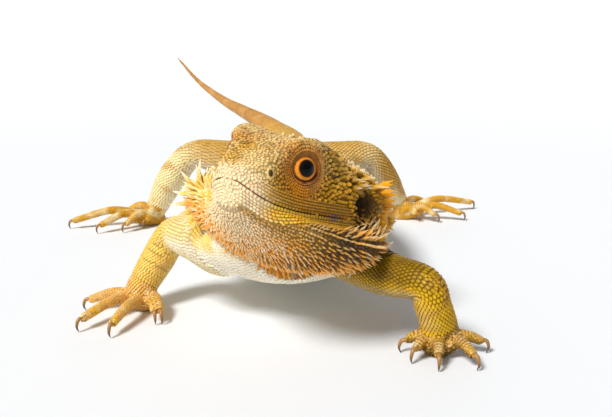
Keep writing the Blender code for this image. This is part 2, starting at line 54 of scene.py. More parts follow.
head = {
    "pivot": (0.5, -66.0, 51.5), "yaw": -28, "pitch": -12, "roll": 7,
    # forward, crown height, brow half width and height, cheek half width, lip half width and height, throat
    "sections": (
        (5.0, 10.0, 10.0, 9.0, 17.0, 20.0, -5.6, -12.8),
        (-1.0, 12.4, 12.0, 11.3, 19.4, 21.8, -5.2, -13.5),
        (-7.0, 13.7, 12.8, 13.0, 19.3, 21.2, -4.8, -13.2),
        (-14.0, 14.6, 12.6, 14.9, 17.0, 19.2, -4.4, -12.4),
        (-21.0, 14.8, 12.4, 16.5, 14.8, 16.8, -4.0, -11.4),
        (-27.0, 14.1, 12.0, 16.2, 12.9, 14.8, -3.6, -10.4),
        (-32.5, 12.3, 9.8, 13.8, 11.1, 12.9, -2.9, -9.2),
        (-38.0, 9.7, 7.6, 10.0, 9.0, 10.8, -1.8, -7.6),
        (-42.5, 7.2, 5.8, 7.2, 7.2, 8.6, -0.2, -5.6),
        (-45.2, 5.4, 3.9, 5.2, 5.0, 6.0, 1.1, -3.6),
        (-46.4, 4.2, 2.0, 4.0, 2.6, 3.0, 1.9, -1.2),
    ),
    "lipInset": 0.9, "lipDrop": 1.3, "jawDrop": 2.9, "mouthPoint": 7,
    "eyeCentre": (9.6, -26.2, 7.0), "eyeAim": (0.82, -0.54, 0.20), "eyeRadius": 4.7,
    "earCentre": (21.6, -1.4, -1.8), "earReach": 4.3, "earDepth": 4.2,
    "earHole": (20.6, -2.0, -1.8), "earShape": (0.14, 0.34, 0.34), "earClear": 2.6,
    "nostril": (7.6, -39.4, 4.9),
    "mouthEnd": -3.0,
}
body = {
    # x, y, z of the middle, half width, height above and depth below, or one radius where it is round
    "beard": ((-20.6, -104.0, 56.6, 5.5, 2.6, 3.6), (-18.0, -98.5, 53.6, 11.7, 3.0, 6.9),
              (-14.9, -92.6, 50.4, 18.0, 3.2, 10.5), (-11.9, -86.8, 47.4, 24.2, 3.4, 13.2),
              (-9.3, -81.0, 45.0, 29.6, 3.8, 14.9), (-7.5, -74.8, 43.2, 33.0, 5.0, 15.3),
              (-6.4, -68.6, 42.0, 32.6, 9.0, 13.8)),
    "beardLean": (0.17, 0, 1),
    "neck": ((0.5, -73.0, 49.5, 19.0, 12.0, 12.0), (0.5, -64.0, 46.5, 26.0, 12.0, 14.0),
             (-2.5, -52.0, 40.0, 28.0, 12.5, 15.0), (-5.0, -41.0, 35.5, 28.5, 12.0, 14.0)),
    "torso": ((-5.0, -74.0, 28.0, 12.0, 7.0, 9.0), (-5.5, -67.0, 30.0, 27.0, 12.0, 15.0),
              (-6.0, -57.0, 32.5, 34.5, 15.0, 18.8), (-6.0, -42.0, 33.0, 36.5, 16.5, 19.2),
              (-7.0, -20.0, 31.5, 39.0, 16.5, 18.0), (-8.0, 4.0, 30.5, 41.5, 16.5, 18.0),
              (-9.5, 28.0, 30.5, 38.0, 16.5, 18.5), (-10.5, 48.0, 31.5, 30.0, 16.0, 18.0),
              (-11.0, 64.0, 32.5, 23.0, 15.0, 16.0), (-10.6, 79.0, 34.0, 17.0, 13.0, 13.5)),
    "tail": ((-10.6, 78.0, 33.9, 16.9, 12.9, 13.4), (-11.5, 97.0, 37.4, 11.4, 10.2, 10.2),
             (-17.5, 115.0, 41.0, 8.0, 7.6, 7.4), (-27.0, 138.0, 45.0, 5.6, 5.4, 5.2),
             (-40.6, 160.0, 49.2, 4.1, 4.0, 3.9), (-56.6, 190.0, 53.0, 3.0, 2.9, 2.9),
             (-72.6, 220.0, 58.8, 2.1), (-86.0, 245.0, 65.2, 1.5),
             (-100.3, 270.0, 75.5, 1.0), (-105.5, 279.0, 79.5, 0.6)),
}
limbs = {
    "arm_right": ((-18, -56, 29.5, 11, 11, 12), (-31, -56, 29.5, 11, 10.5, 13), (-41, -52.5, 29.5, 8.4, 8, 8),
                  (-49.8, -44, 27.6, 6.2), (-55.6, -44.2, 18.6, 6.3),
                  (-60.4, -48, 10.8, 5.6)),
    "arm_left": ((12, -62, 28.5, 10, 9.5, 10.5), (25.5, -76, 24.8, 7.4, 7.2, 7.6), (37, -87, 25, 5.6),
                 (40, -86.4, 17.8, 5.8), (42.6, -84, 10.6, 6)),
    "leg_right": ((-22, 60, 34, 12, 11, 11), (-42, 61.5, 37, 9, 9, 9.5), (-59.8, 64, 38.2, 6.9),
                  (-72, 66, 25, 7.5), (-79.8, 66.3, 11, 5.7)),
    "leg_left": ((0, 60, 34, 12, 11, 11), (17, 62, 36.5, 9, 9, 9.5), (32.5, 65, 37.2, 6.9),
                 (42.6, 70, 25, 6.9), (51.0, 75.3, 11, 5.0)),
}
handRoots = (0.4, 0.6, 0.66, 0.6, 0.4)
footRoots = (0.22, 0.5, 0.68, 0.74, 0.2)
paws = {
    "hand_right": {"limb": "arm_right", "palm": (6.0, 5.6, 7.6), "toe": 1.75, "arch": 6.6,
                   "roots": handRoots,
                   "tips": ((-51.6, -62.7), (-53.8, -63.0), (-66.7, -73.4), (-78.8, -69.0), (-82.0, -51.0))},
    "hand_left": {"limb": "arm_left", "palm": (5.4, 5.8, 7.6), "toe": 1.65, "arch": 6.4,
                  "roots": handRoots,
                  "tips": ((31.2, -84.8), (33.6, -91.8), (40.8, -96.6), (52.6, -96.0), (58.2, -84.9))},
    "foot_right": {"limb": "leg_right", "palm": (13.0, 5.2, 7.2), "toe": 1.85, "arch": 8.7,
                   "roots": footRoots,
                   "tips": ((-85.4, 54.8), (-94.4, 48.0), (-107.2, 46.5), (-124.2, 55.0), (-101.0, 76.0))},
    "foot_left": {"limb": "leg_left", "palm": (13.0, 4.8, 7.0), "toe": 1.75, "arch": 8.6,
                  "roots": footRoots,
                  "tips": ((61.8, 68.6), (71.7, 66.6), (86.7, 70.6), (98.0, 95.5), (72.0, 96.0))},
}
floorSink = 0.8
toeEnd = 4.5  # height of a toe's end, where the claw comes out


def linear(hexCode):
    parts = [int(hexCode[i:i + 2], 16) / 255 for i in (1, 3, 5)]
    return np.array([c / 12.92 if c <= 0.04045 else ((c + 0.055) / 1.055) ** 2.4 for c in parts])


def unit(way):
    return way / np.linalg.norm(way)


def lengths(ways):
    return np.linalg.norm(ways, axis=1)


def tangent(way, normal):  # the way laid along the surface
    return unit(way - normal * (way @ normal))


def sideOf(x):
    return 1 if x > 0 else -1


def ease(rows, steps):  # Catmull-Rom through the rows
    rows = np.array(rows, float)
    ends = np.vstack([2 * rows[0] - rows[1], rows, 2 * rows[-1] - rows[-2]])
    eased = []
    for i in range(len(rows) - 1):
        a, b, c, d = ends[i:i + 4]
        for k in range(steps):
            t = k / steps
            eased.append(0.5 * (2 * b + (c - a) * t + (2 * a - 5 * b + 4 * c - d) * t * t
                                + (3 * b - a - 3 * c + d) * t ** 3))
    return np.array(eased + [rows[-1]])


def ringsOf(rows, sides, steps, up=upward):
    eased = ease([(*row, row[3], row[3]) if len(row) == 4 else row for row in rows], steps)
    centres = [Vector(r[:3]) for r in eased]
    rings, top = [], Vector(up)
    for i, row in enumerate(eased):
        ahead = (centres[min(i + 1, len(centres) - 1)] - centres[max(i - 1, 0)]).normalized()
        top = (top - ahead * top.dot(ahead)).normalized()
        side = ahead.cross(top)
        turns = 2 * math.pi * np.arange(sides) / sides
        rise = np.sin(turns) * np.where(np.sin(turns) > 0, row[4], row[5])
        rings.append(np.array(centres[i]) + np.outer(np.cos(turns) * row[3], side) + np.outer(rise, top))
    return np.array(rings)


def headRings(steps=4):
    sections = []
    for y, crown, browWide, browHigh, cheek, lip, lipHigh, throat in reversed(head["sections"]):
        inset, drop = min(head["lipInset"], lip * 0.2), min(1.0, lip / 9)
        half = ((0, crown), (0.5 * browWide, crown * 0.55 + browHigh * 0.45), (0.86 * browWide, browHigh),
                (browWide + 0.06 * cheek, browHigh - 0.12 * (browHigh - lipHigh)),
                (cheek, 0.48 * (browHigh + lipHigh)), (lip * 0.97, lipHigh + 0.16 * (browHigh - lipHigh)),
                (lip, lipHigh), (lip - inset, lipHigh - head["lipDrop"] * drop),
                (lip - inset * 0.4, lipHigh - head["jawDrop"] * drop),
                (0.62 * lip, throat + 1.6), (0, throat))
        sections.append([(x, y, z) for x, z in list(half) + [(-x, z) for x, z in half[-2:0:-1]]])
    along = ease(np.array(sections).reshape(len(sections), -1), steps)
    return along.reshape(len(along), -1, 3)


def rotation(degrees, axis):
    return Matrix.Rotation(math.radians(degrees), 4, axis)


headTurn = rotation(head["yaw"], "Z") @ rotation(head["pitch"], "X") @ rotation(head["roll"], "Y")
headFrame = Matrix.Translation(head["pivot"]) @ headTurn
headAxes = np.array(headTurn.to_3x3())


def fromHead(points):
    return np.asarray(points, float) @ headAxes.T + np.array(head["pivot"])


def toHead(points):
    return (np.asarray(points, float) - np.array(head["pivot"])) @ headAxes


def mirrored(place, side):
    return Vector((place[0] * side, place[1], place[2]))


def headPlace(name, side):
    return np.array(mirrored(head[name], side))


# The part was centred over its box, and its left eye says by how much.
eyeLow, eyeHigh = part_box("eye_left")
shift = (eyeLow + eyeHigh) / 2 - headFrame @ Vector(head["eyeCentre"]) * 0.001


def selectOnly(*pieces):
    bpy.ops.object.select_all(action="DESELECT")
    for piece in pieces:
        piece.select_set(True)
    bpy.context.view_layer.objects.active = pieces[0]


def joined(pieces):
    selectOnly(*pieces)
    bpy.ops.object.join()
    return bpy.context.object


def modified(piece, kind, settings):
    selectOnly(piece)
    modifier = piece.modifiers.new(kind, kind)
    for key, value in settings.items():
        setattr(modifier, key, value)
    bpy.ops.object.modifier_apply(modifier=modifier.name)


def pointsOf(piece, what="co"):
    found = np.empty(len(piece.data.vertices) * 3, np.float32)
    if what == "co":
        piece.data.vertices.foreach_get("co", found)
    else:
        piece.data.vertex_normals.foreach_get("vector", found)
    return found.reshape(-1, 3).astype(float)


def setPoints(piece, places):
    piece.data.vertices.foreach_set("co", places.astype(np.float32).ravel())


def paint(piece, tints):  # the colour at each point, which the materials read
    colours = np.ones((len(piece.data.vertices), 4), np.float32)
    colours[:, :3] = tints
    attribute = piece.data.color_attributes.new("tint", "FLOAT_COLOR", "POINT")
    attribute.data.foreach_set("color", colours.ravel())


def finishPiece(piece, name, slot, look, *nodes):
    piece.name = name
    piece.data.name = name
    piece.data.materials.append(look)
    piece.data.transform(Matrix.Translation(shift) @ Matrix.Scale(0.001, 4))
    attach(piece, "root")
    if nodes:
        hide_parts(*nodes)


def domed(rings, first, last):  # smaller rings beyond each end, down to a point
    made = list(rings)
    for bulge, at, inner in ((first, 0, 1), (last, -1, -2)):
        middle = rings[at].mean(0)
        out = unit(middle - rings[inner].mean(0))
        for angle in (30, 58, 90):
            turn = math.radians(angle)
            ring = middle + (rings[at] - middle) * math.cos(turn) + out * bulge * math.sin(turn)
            made = [ring] + made if at == 0 else made + [ring]
    return np.array(made)


def wrapped(rings, name="form"):  # a grid wrapped round the rings, and welded along its seam
    rows, sides = rings.shape[:2]
    bpy.ops.mesh.primitive_grid_add(x_subdivisions=sides, y_subdivisions=rows - 1, size=1)
    piece = bpy.context.object
    piece.name = name
    setPoints(piece, np.concatenate([rings, rings[:, :1]], axis=1))
    bpy.ops.object.mode_set(mode="EDIT")
    bpy.ops.mesh.select_all(action="SELECT")
    bpy.ops.mesh.remove_doubles(threshold=0.0005)
    bpy.ops.mesh.normals_make_consistent(inside=False)
    bpy.ops.object.mode_set(mode="OBJECT")
    piece.select_set(False)
    return piece


def pawRings(paw):
    rows = limbs[paw["limb"]]
    wrist, before = Vector(rows[-1][:3]), Vector(rows[-2][:3])
    down = (wrist - before).normalized()
    length, width, height = paw["palm"]
    tips = [Vector((*tip, 0)) for tip in paw["tips"]]
    heel = Vector((*wrist.xy, 0))
    ahead = (sum(tips[1:4], Vector()) / 3 - heel).normalized()
    side = ahead.cross(upward)
    stub = [(*(wrist + down * reach), rows[-1][3] * size)
            for reach, size in ((-2.0, 1.0), (3.0, 0.96), (5.6, 0.84))]
    palmRows = []
    for reach, wide, tall, sunk in ((-1.4, 0.66, 0.72, 1), (0.3 * length, 0.9, 1.0, 1),
                                    (0.7 * length, 1.0, 0.9, -1), (length, 0.84, 0.76, -3)):
        place = heel + ahead * reach
        half = (height * tall + floorSink * sunk) / 2
        palmRows.append((place.x, place.y, height * tall - half, width * wide, half, half))
    made = {"palm": ringsOf(palmRows, 16, 3), "stub": ringsOf(stub, 16, 2, ahead), "toes": [], "claws": []}
    for number, (tip, share) in enumerate(zip(tips, paw["roots"])):
        middle = heel + ahead * length * share
        off = max(-0.7, min(0.7, (tip - middle).dot(side) * 0.4 / width)) * width
        root = middle + side * off - ahead * abs(off) * 0.3
        size = paw["toe"] * (1 + 0.02 * number)
        reach = tip - root
        forward = reach.normalized()
        places = ((root, 5.0, 1.2), (root + reach * 0.42, paw["arch"], 1.0),
                  (tip - forward * 1.7, toeEnd, 0.8))
        rows = [(*p.xy, z, size * r) for p, z, r in places]
        made["toes"].append(ringsOf(rows, 10, 6))
        made["claws"].append((Vector(rows[-1][:3]), tip, forward))
    return made


print("forms")
rings = {name: ringsOf(body[name], 32, 4) for name in ("neck", "torso", "tail")}
rings["beard"] = ringsOf(body["beard"], 32, 4, body["beardLean"])
rings["head"] = fromHead(headRings())
for name, rows in limbs.items():
    rings[name] = ringsOf(rows, 20, 5)
pawParts = {name: pawRings(paw) for name, paw in paws.items()}
skinMake = {"voxel": 0.8, "smoothing": 3, "underScales": 0.25, "toeSwell": 0.12}

# how far the domes at both ends of each form stand out
bulges = {"torso": (5, 2), "neck": (4, 4), "beard": (3, 5), "tail": (2, 0.5), "head": (0.5, 2)}
bulges.update({name: (3, 2) for name in limbs})
forms = [wrapped(domed(rings[name], *ends)) for name, ends in bulges.items()]
for parts in pawParts.values():
    forms += [wrapped(domed(parts["palm"], 1.8, 1.4)), wrapped(domed(parts["stub"], 1, 1.5))]
    for toe in parts["toes"]:
        middle = toe.mean(1, keepdims=True)
        forms.append(wrapped(domed(middle + (toe - middle) * (1 + skinMake["toeSwell"]), 1.2, 1.0)))

print("skin")
skin = joined(forms)
modified(skin, "REMESH", {"mode": "VOXEL", "voxel_size": skinMake["voxel"]})
modified(skin, "SMOOTH", {"factor": 0.5, "iterations": skinMake["smoothing"]})
bpy.ops.object.shade_smooth()

local = toHead(pointsOf(skin) - pointsOf(skin, "normal") * skinMake["underScales"])
orbit = {"height": 3.15, "brow": 0.9, "fall": 0.03, "inner": 4.6, "outer": 9.0,
         "ballReach": 8, "ballShare": 0.70, "ballSunk": 0.5}
earFlare = {"place": (21.0, 5.0, -1.5), "reach": (9.0, 5.6, 9.0), "out": 3.6}
farBrow = {"place": (-13.5, -26.0, 11.0), "reach": (10.0, 17.0, 13.0), "push": (-2.4, 0.0, 0.7)}
eyeFrames = {}


def within(places, centre, reach):  # 1 at the centre, falling to 0 at the reach along each axis
    return np.clip(1 - lengths((places - centre) / reach) ** 2, 0, 1)


for side in (-1, 1):
    centre, aim = mirrored(head["eyeCentre"], side), mirrored(head["eyeAim"], side).normalized()
    across = Vector((0, -1, 0)).cross(aim).cross(aim) * -1  # towards the snout, square to the aim
    across.normalize()
    rise = aim.cross(across) * (1 if side < 0 else -1)
    eyeFrames[side] = (centre, aim, across, rise)
    middle, axis = np.array(centre), np.array(aim)
    off = local - middle
    height = off @ axis
    sideways = off - np.outer(height, axis)
    wide = lengths(sideways)
    brow = np.clip(sideways @ np.array(rise) / np.maximum(wide, 0.1), 0, 1)
    fall = orbit["fall"] * np.maximum(wide - orbit["inner"], 0) ** 2
    target = orbit["height"] + orbit["brow"] * brow - fall
    pull = np.clip((orbit["outer"] - wide) / (orbit["outer"] - orbit["inner"]), 0, 1) ** 1.3
    local += np.outer((target - height) * np.where(height > -1, pull, 0), axis)
    # inside the opening of the lids, the skin lies just under the eyeball
    off = local - middle
    reach = lengths(off)
    near = (reach < orbit["ballReach"]) & (off @ axis > reach * orbit["ballShare"])
    local[near] = middle + off[near] / reach[near, None] * (head["eyeRadius"] - orbit["ballSunk"])
    flare = within(local, np.array(mirrored(earFlare["place"], side)), earFlare["reach"])
    local[:, 0] += side * flare ** 1.5 * earFlare["out"]
    far = lengths((local - headPlace("earCentre", side)) * (0.6, 1, 1)) / head["earReach"]
    local[:, 0] -= side * np.clip(1 - far ** 2, 0, 1) ** 0.7 * head["earDepth"]
local += np.outer(within(local, farBrow["place"], farBrow["reach"]) ** 2, farBrow["push"])
points = fromHead(local)
points[:, 2] = np.maximum(points[:, 2], 0.03)  # flat soles
setPoints(skin, points)
skin.data.update()
skinPoints, skinNormals = pointsOf(skin), pointsOf(skin, "normal")
skinFaces = [tuple(p.vertices) for p in skin.data.polygons]
skinTree = BVHTree.FromPolygons([tuple(p) for p in skinPoints], skinFaces)
print("skin faces", len(skinFaces))


def onSkin(place, reach=1.7):  # nearest point of the skin, and its smooth normal
    found, _, face, _ = skinTree.find_nearest(Vector(place), reach)
    if found is None:
        return None
    corners = list(skinFaces[face])
    weights = 1 / (lengths(skinPoints[corners] - np.array(found)) + 0.05)
    return np.array(found), unit((skinNormals[corners] * weights[:, None]).sum(0))


# One of each kind of scale. Width runs along X, length along Y from root to tip, and height along Z.
shapes = {
    "keeled": {"sides": 6, "top": 0.84, "narrow": 0.38, "front": 0.35, "rear": 0.95, "ridge": 0.32,
               "crest": 0.64},
    "plate": {"sides": 6, "top": 0.84, "narrow": 0.0, "front": 0.75, "rear": 0.85, "ridge": 0.16,
              "crest": 0.5},
    "bristle": {"sides": 5, "top": 0.0, "narrow": 0.3},
}


def modelScale(kind):
    shape = shapes[kind]
    bpy.ops.mesh.primitive_cone_add(vertices=shape["sides"], radius1=0.5, radius2=0.5 * shape["top"], depth=1)
    piece = bpy.context.object
    bpy.ops.object.mode_set(mode="EDIT")
    if kind == "bristle":  # a waist half way up, so that it can bow
        bpy.ops.mesh.select_all(action="SELECT")
        bpy.ops.mesh.bisect(plane_co=(0, 0, -0.05), plane_no=(0, 0, 1))
    else:
        bpy.ops.mesh.select_all(action="DESELECT")
        bpy.ops.object.mode_set(mode="OBJECT")
        for face in piece.data.polygons:
            face.select = face.normal.z > 0.9
        bpy.ops.object.mode_set(mode="EDIT")
        bpy.ops.mesh.poke(offset=0.16)
    bpy.ops.mesh.select_all(action="SELECT")
    bpy.ops.mesh.quads_convert_to_tris()
    bpy.ops.object.mode_set(mode="OBJECT")
    co = pointsOf(piece)
    high = np.clip(co[:, 2] + 0.5, 0, 1.2)
    y = co[:, 1] + 0.5
    x = co[:, 0] * (1 - shape["narrow"] * y)
    if kind == "bristle":
        x = co[:, 0] * np.where((high > 0.1) & (high < 0.9), 1.5, 1)
        y = y * 0.42 * (1 - high) + high * (0.42 + 0.58 * high)
        z = np.where(high > 0.9, 0.75, np.where(high > 0.1, 0.25 + 0.9 * (1 - high), high - 0.35))
        high = np.where(high > 0.9, 1.0, np.where(high > 0.1, 0.5, 0.0))
    else:
        rim, crest = high > 0.5, high > 1.05
        y = np.where(crest, shape["crest"], y)
        z = np.where(rim, shape["front"] + (shape["rear"] - shape["front"]) * y, -0.8)
        z += np.where(crest, shape["ridge"], 0)
        high = np.where(crest, 1.0, np.where(rim, 0.6, 0.0))
    made = {"co": np.stack([x, y, z], 1), "high": high,
            "faces": np.array([tuple(p.vertices) for p in piece.data.polygons])}
    bpy.data.objects.remove(piece)
    return made


scaleModels = {kind: modelScale(kind) for kind in shapes}
taken = {}  # places already covered, by cell of the grid
gridCell = 2.5
coat = {}  # piece name: list of batches of scales


def cellOf(place):
    return tuple(int(math.floor(c / gridCell)) for c in place)


def isFree(place, room):
    for cell in product(*[(c - 1, c, c + 1) for c in cellOf(place)]):
        for other, otherRoom in taken.get(cell, ()):
            gap = min(room, otherRoom)
            if sum((a - b) ** 2 for a, b in zip(place, other)) < gap * gap:
                return False
    return True


def take(place, room):
    taken.setdefault(cellOf(place), []).append((tuple(place), room))


def claim(place, reach, room, own):
    # the nearest place on the skin and its normal, which is taken, or None if another scale is there
    found = onSkin(place, reach)
    if found is None or not isFree(found[0], room):
        return None
    take(found[0], own)
    return found


def layScales(piece, kind, spots):
    if spots:
        coat.setdefault(piece, []).append((kind, spots))


# tip: the colour at a scale's crest or a spine's point; unless given, a crest is painted 12 per cent lighter,
# a painted highlight
def spot(place, normal, back, width, length, height, lift, colour, tip=None, gap=None):
    return {"place": place, "normal": normal, "back": back, "size": (width, length, height), "lift": lift,
            "colour": colour, "tip": colour * 1.12 if tip is None else tip,
            "gap": colour * (0.45 + 0.35 * ramp(colour.mean(), 0.35, 0.75)) if gap is None else gap}


def sampleRings(rings, spacing, lengthwise=False, rowStep=0.82, jitter=0.0):
    # staggered rows over a form: each place, the way its scale lies, and its share of the length and turn
    last, sides = len(rings) - 1, rings.shape[1]
    steps = np.linalg.norm(np.diff(rings, axis=0), axis=2).mean(1)
    length = np.concatenate([[0], np.cumsum(steps)])

    def at(u, v):
        u = min(max(u, 0), last)
        i, k = min(int(u), last - 1), int(math.floor(v)) % sides
        fu, fv = u - i, v - math.floor(v)
        near = rings[i, k] * (1 - fv) + rings[i, (k + 1) % sides] * fv
        far = rings[i + 1, k] * (1 - fv) + rings[i + 1, (k + 1) % sides] * fv
        return near * (1 - fu) + far * fu

    def ringAt(s):
        return float(np.interp(s, length, np.arange(last + 1)))

    found = []
    if lengthwise:
        widest = max(lengths(r - np.roll(r, 1, 0)).sum() for r in rings)
        count = int(widest / spacing(0.5))
        for k in range(count):
            s = (k % 2) * 0.5 * spacing(0)
            while s < length[-1]:
                u = ringAt(s)
                found.append((u, sides * k / count))
                s += spacing(u / last)
    else:
        s, row = 0.0, 0
        while s < length[-1]:
            u = ringAt(s)
            ring = np.array([at(u, v) for v in range(sides)])
            walk = np.concatenate([[0], np.cumsum(lengths(np.roll(ring, -1, 0) - ring))])
            count = max(5, round(walk[-1] / spacing(u / last)))
            starts = (np.arange(count) + 0.5 * (row % 2)) / count * walk[-1]
            found += [(u, float(v)) for v in np.interp(starts, walk, np.arange(sides + 1))]
            s += spacing(u / last) * rowStep
            row += 1
    made = []
    for u, v in found:
        u, v = u + draw.uniform(-jitter, jitter), v + draw.uniform(-jitter, jitter)
        back = at(u + 0.3, v) - at(u - 0.3, v)
        normal = np.cross(back, at(u, v + 0.3) - at(u, v - 0.3))
        if np.linalg.norm(normal) < 1e-9:
            continue
        normal = unit(normal)
        place = at(u, v)
        if normal @ (place - rings[min(int(u), last)].mean(0)) < 0:
            normal = -normal
        made.append((place, normal, unit(back), u / last, v / sides * 360 % 360))
    return made


def onFloor(place, normal):  # places under the soles, which never show
    return place[2] < 0.5 and normal[2] < -0.3


def settle(samples, room, reach=1.7):
    # the samples moved onto the skin, without those that are inside it, on the floor or on another scale
    kept = []
    for place, normal, back, along, angle in samples:
        found = onSkin(place, reach)
        if found is None or found[1] @ normal < 0.25:
            continue
        place, normal = found
        if onFloor(place, normal) or place[1] < -40 and toEar(toHead([place])[0]) < head["earClear"]:
            continue
        free = room(along, angle)
        if not isFree(place, free):
            continue
        take(place, free)
        kept.append((place, normal, tangent(back, normal), along, angle))
    return kept


def grain(place, size, seed=0.0):  # soft noise from -1 to 1, in patches of about size millimetres
    return noise.noise(Vector(place) / size + Vector((seed, seed * 1.7, -seed)))


def ramp(value, low, high):
    t = min(1, max(0, (value - low) / (high - low)))
    return t * t * (3 - 2 * t)


def vivid(colour, strength=1.18):
    return np.clip(colour.mean() + (colour - colour.mean()) * strength, 0.004, 1)


palette = {name: vivid(linear(code)) for name, code in {
    "paleTan": "#F0D7A2", "goldTan": "#D2A250", "olive": "#7A5F22", "oliveYellow": "#B08324",
    "orangeBrown": "#AE6A1C", "eyeOrange": "#C8842A", "cream": "#F7DFB8", "creamYellow": "#E8BE60",
    "cheek": "#C08F30", "mouth": "#3E2412", "lip": "#8A5634", "beardPale": "#FBE3BC", "peach": "#F6C682",
    "orange": "#ECA43C", "yellow": "#F4CE62", "beardShadow": "#33220F", "spikeOrange": "#EEA428",
    "belly": "#F8EEDA", "armYellow": "#ECBE4A", "armPale": "#F2E0B4", "armBrown": "#7A4C16",
    "hand": "#E6B876", "legTan": "#F6E2B2", "legBrown": "#C6964C", "foot": "#D8A652", "tail": "#B88A58",
    "tailPale": "#CCA470", "back": "#C8A05A", "white": "#FFF8EA", "lilac": "#8D7C86", "earWallShade": "#6A4C1A",
}.items()}


def blendOf(a, b, share):
    return a * (1 - share) + b * share


def tone(colour):  # a colour, or one from the palette by its name
    return palette[colour] if isinstance(colour, str) else colour


def layered(colour, *layers):  # each layer is a colour over those before it, and its share
    colour = tone(colour)
    for over, share in layers:
        colour = blendOf(colour, tone(over), share)
    return colour


def varied(colour, amount=0.12):
    return colour * (1 + draw.uniform(-amount, amount))


def treeOf(places):
    tree = KDTree(len(places))
    for i, place in enumerate(places):
        tree.insert(place, i)
    tree.balance()
    return tree


# the mouth line from the right corner round the snout to the left one
snoutRows = [row for row in headRings() if row[0][1] < head["mouthEnd"]]
mouthMiddle = np.array([row[len(row) - head["mouthPoint"]] for row in snoutRows[::-1]]
                       + [row[head["mouthPoint"]] for row in snoutRows])
mouthTree = treeOf(mouthMiddle)
openings = {"eye": 5.15, "nostril": 1.35, "mouth": 0.3}


def headColour(place):
    x, y, z = toHead([place])[0]
    eye = Vector((x, y, z)) - mirrored(head["eyeCentre"], sideOf(x))
    above = z - mouthTree.find((x, y, z))[0].z
    flank = ramp(above, 16, 8)
    loreal = ramp(eye.length, 15, 9) * ramp(y, -26, -30) * ramp(y, -41, -37) * ramp(above, 13, 9)
    behind = ramp(eye.y, 3, 7) * ramp(eye.y, 17, 11) * ramp(abs(eye.z - 2.5), 6.5, 3)
    ringed = ramp(eye.length, 13.0, 7.0) * ramp(-eye.y, -8, -1) * ramp(z, 15.5, 12.5)
    if above < 0.2:
        colour = layered("creamYellow", ("oliveYellow", 0.7 * ramp(y, -34, -22)),
                         ("orange", 0.5 * ramp(grain(place, 2, 7), 0, 0.4)),
                         ("beardPale", ramp(above, -3.2, -6.5) * ramp(y, -16, -26)),
                         ("cream", ramp(y, -37, -42)))
    else:
        colour = layered("paleTan", ("goldTan", 0.26 + 0.54 * ramp(grain(place, 6, 1), -0.1, 0.5)),
                         ("goldTan", 0.7 * ramp(y, -30, -16)),
                         ("cheek", 0.85 * flank * ramp(y, -26, -18)),
                         ("olive", 0.6 * ramp(grain(place, 5, 9), -0.1, 0.5) * ramp(y, -28, -12)),
                         ("oliveYellow",
                          0.9 * ramp(above, 8.0, 5.6) * ramp(above, 0.4, 1.6) * ramp(y, -41, -36)),
                         (palette["cheek"] * 0.9, 0.6 * loreal),
                         ("olive", 0.5 * behind * ramp(grain(place, 3, 12), -0.5, 0.2)),
                         ("eyeOrange", 0.8 * ringed),
                         ("cream", 0.9 * ramp(y, -39.5, -43.5) * ramp(above, 5.5, 2.5)),
                         ("orangeBrown", 0.4 * ramp(grain(place, 2.0, 4), 0.25, 0.5) * (1 - 0.4 * flank)),
                         ("olive", 0.8 * ramp(grain(place, 1.8, 6), 0.35, 0.55) * ramp(above, 5, 9)))
    # darker towards the ear: the colour of its wall with painted shade of the recess
    colour = blendOf(colour, palette["earWallShade"], 0.85 * ramp(toEar(np.array((x, y, z))), 2.1, 1.2))
    return colour * (1 + 0.2 * grain(place, 0.9, 3))


def toEar(here):  # how far a place of the head is from its ear, less along the depth of the ear
    return np.linalg.norm((here - headPlace("earHole", sideOf(here[0]))) * head["earShape"])


def isOpening(here):  # whether a place of the head is at an eye, ear, nostril or the mouth's line
    side = sideOf(here[0])
    centre, aim = (np.array(part) for part in eyeFrames[side][:2])
    off = np.array(here) - centre
    return (off @ aim > 0 and np.linalg.norm(off - aim * (off @ aim)) < openings["eye"]
            or toEar(here) < 1
            or np.linalg.norm(here - headPlace("nostril", side)) < openings["nostril"]
            or here[1] < head["mouthEnd"] and mouthTree.find(here)[2] < openings["mouth"])


print("lips and rows of the head")

mouthWalk = np.concatenate([[0], np.cumsum(lengths(np.diff(mouthMiddle, axis=0)))])


def mouthRow(offset, step, kind, width, length, height, reach, shade, stagger=0):
    # scales in a row beside the mouth line, offset measured down the side of the head
    def at(s):
        return np.array([np.interp(s, mouthWalk, mouthMiddle[:, a]) for a in range(3)])

    strides = max(1, int(abs(offset) / 0.5))
    room = min(width, length)
    spots = []
    for k in range(int(mouthWalk[-1] / step)):
        s = (k + 0.5 + stagger) * step
        here = at(s)
        ahead = at(s + 0.4) - here
        if s >= mouthWalk[-1] or np.linalg.norm(ahead) < 1e-6 or not reach[0] <= here[1] <= reach[1]:
            continue
        start = onSkin(fromHead([here])[0], 4)
        if start is None or abs(offset) > 1 and here[1] > reach[1] - 2.4 * draw.random():
            continue
        ahead = headAxes @ unit(ahead)
        place, normal = start
        up = np.cross(normal, ahead)
        up = unit(up * (np.sign(up @ headAxes @ np.array((0, 0, 1.0))) or 1))
        for _ in range(strides):  # over the skin in short steps
            moved = onSkin(place + up * offset / strides, 3)
            if moved is None:
                break
            place, normal = moved
            up = tangent(up, normal)
        back = tangent(ahead * sideOf(here[0]), normal)
        if not isFree(place, room * 0.6) or abs(offset) > 1 and isOpening(toHead([place])[0]):
            continue
        take(place, room * 0.75)
        colour = varied(shade(place, here), 0.1)
        gap = colour * (0.54 + 0.26 * ramp(here[1], -32, -40))
        # the crest painted 15 per cent lighter: a painted highlight
        spots.append(spot(place - back * length * 0.5, normal, back, width * draw.uniform(0.94, 1.04),
                          length * 1.04, height, 2, colour, colour * 1.15, gap))
    layScales("head_scales", kind, spots)


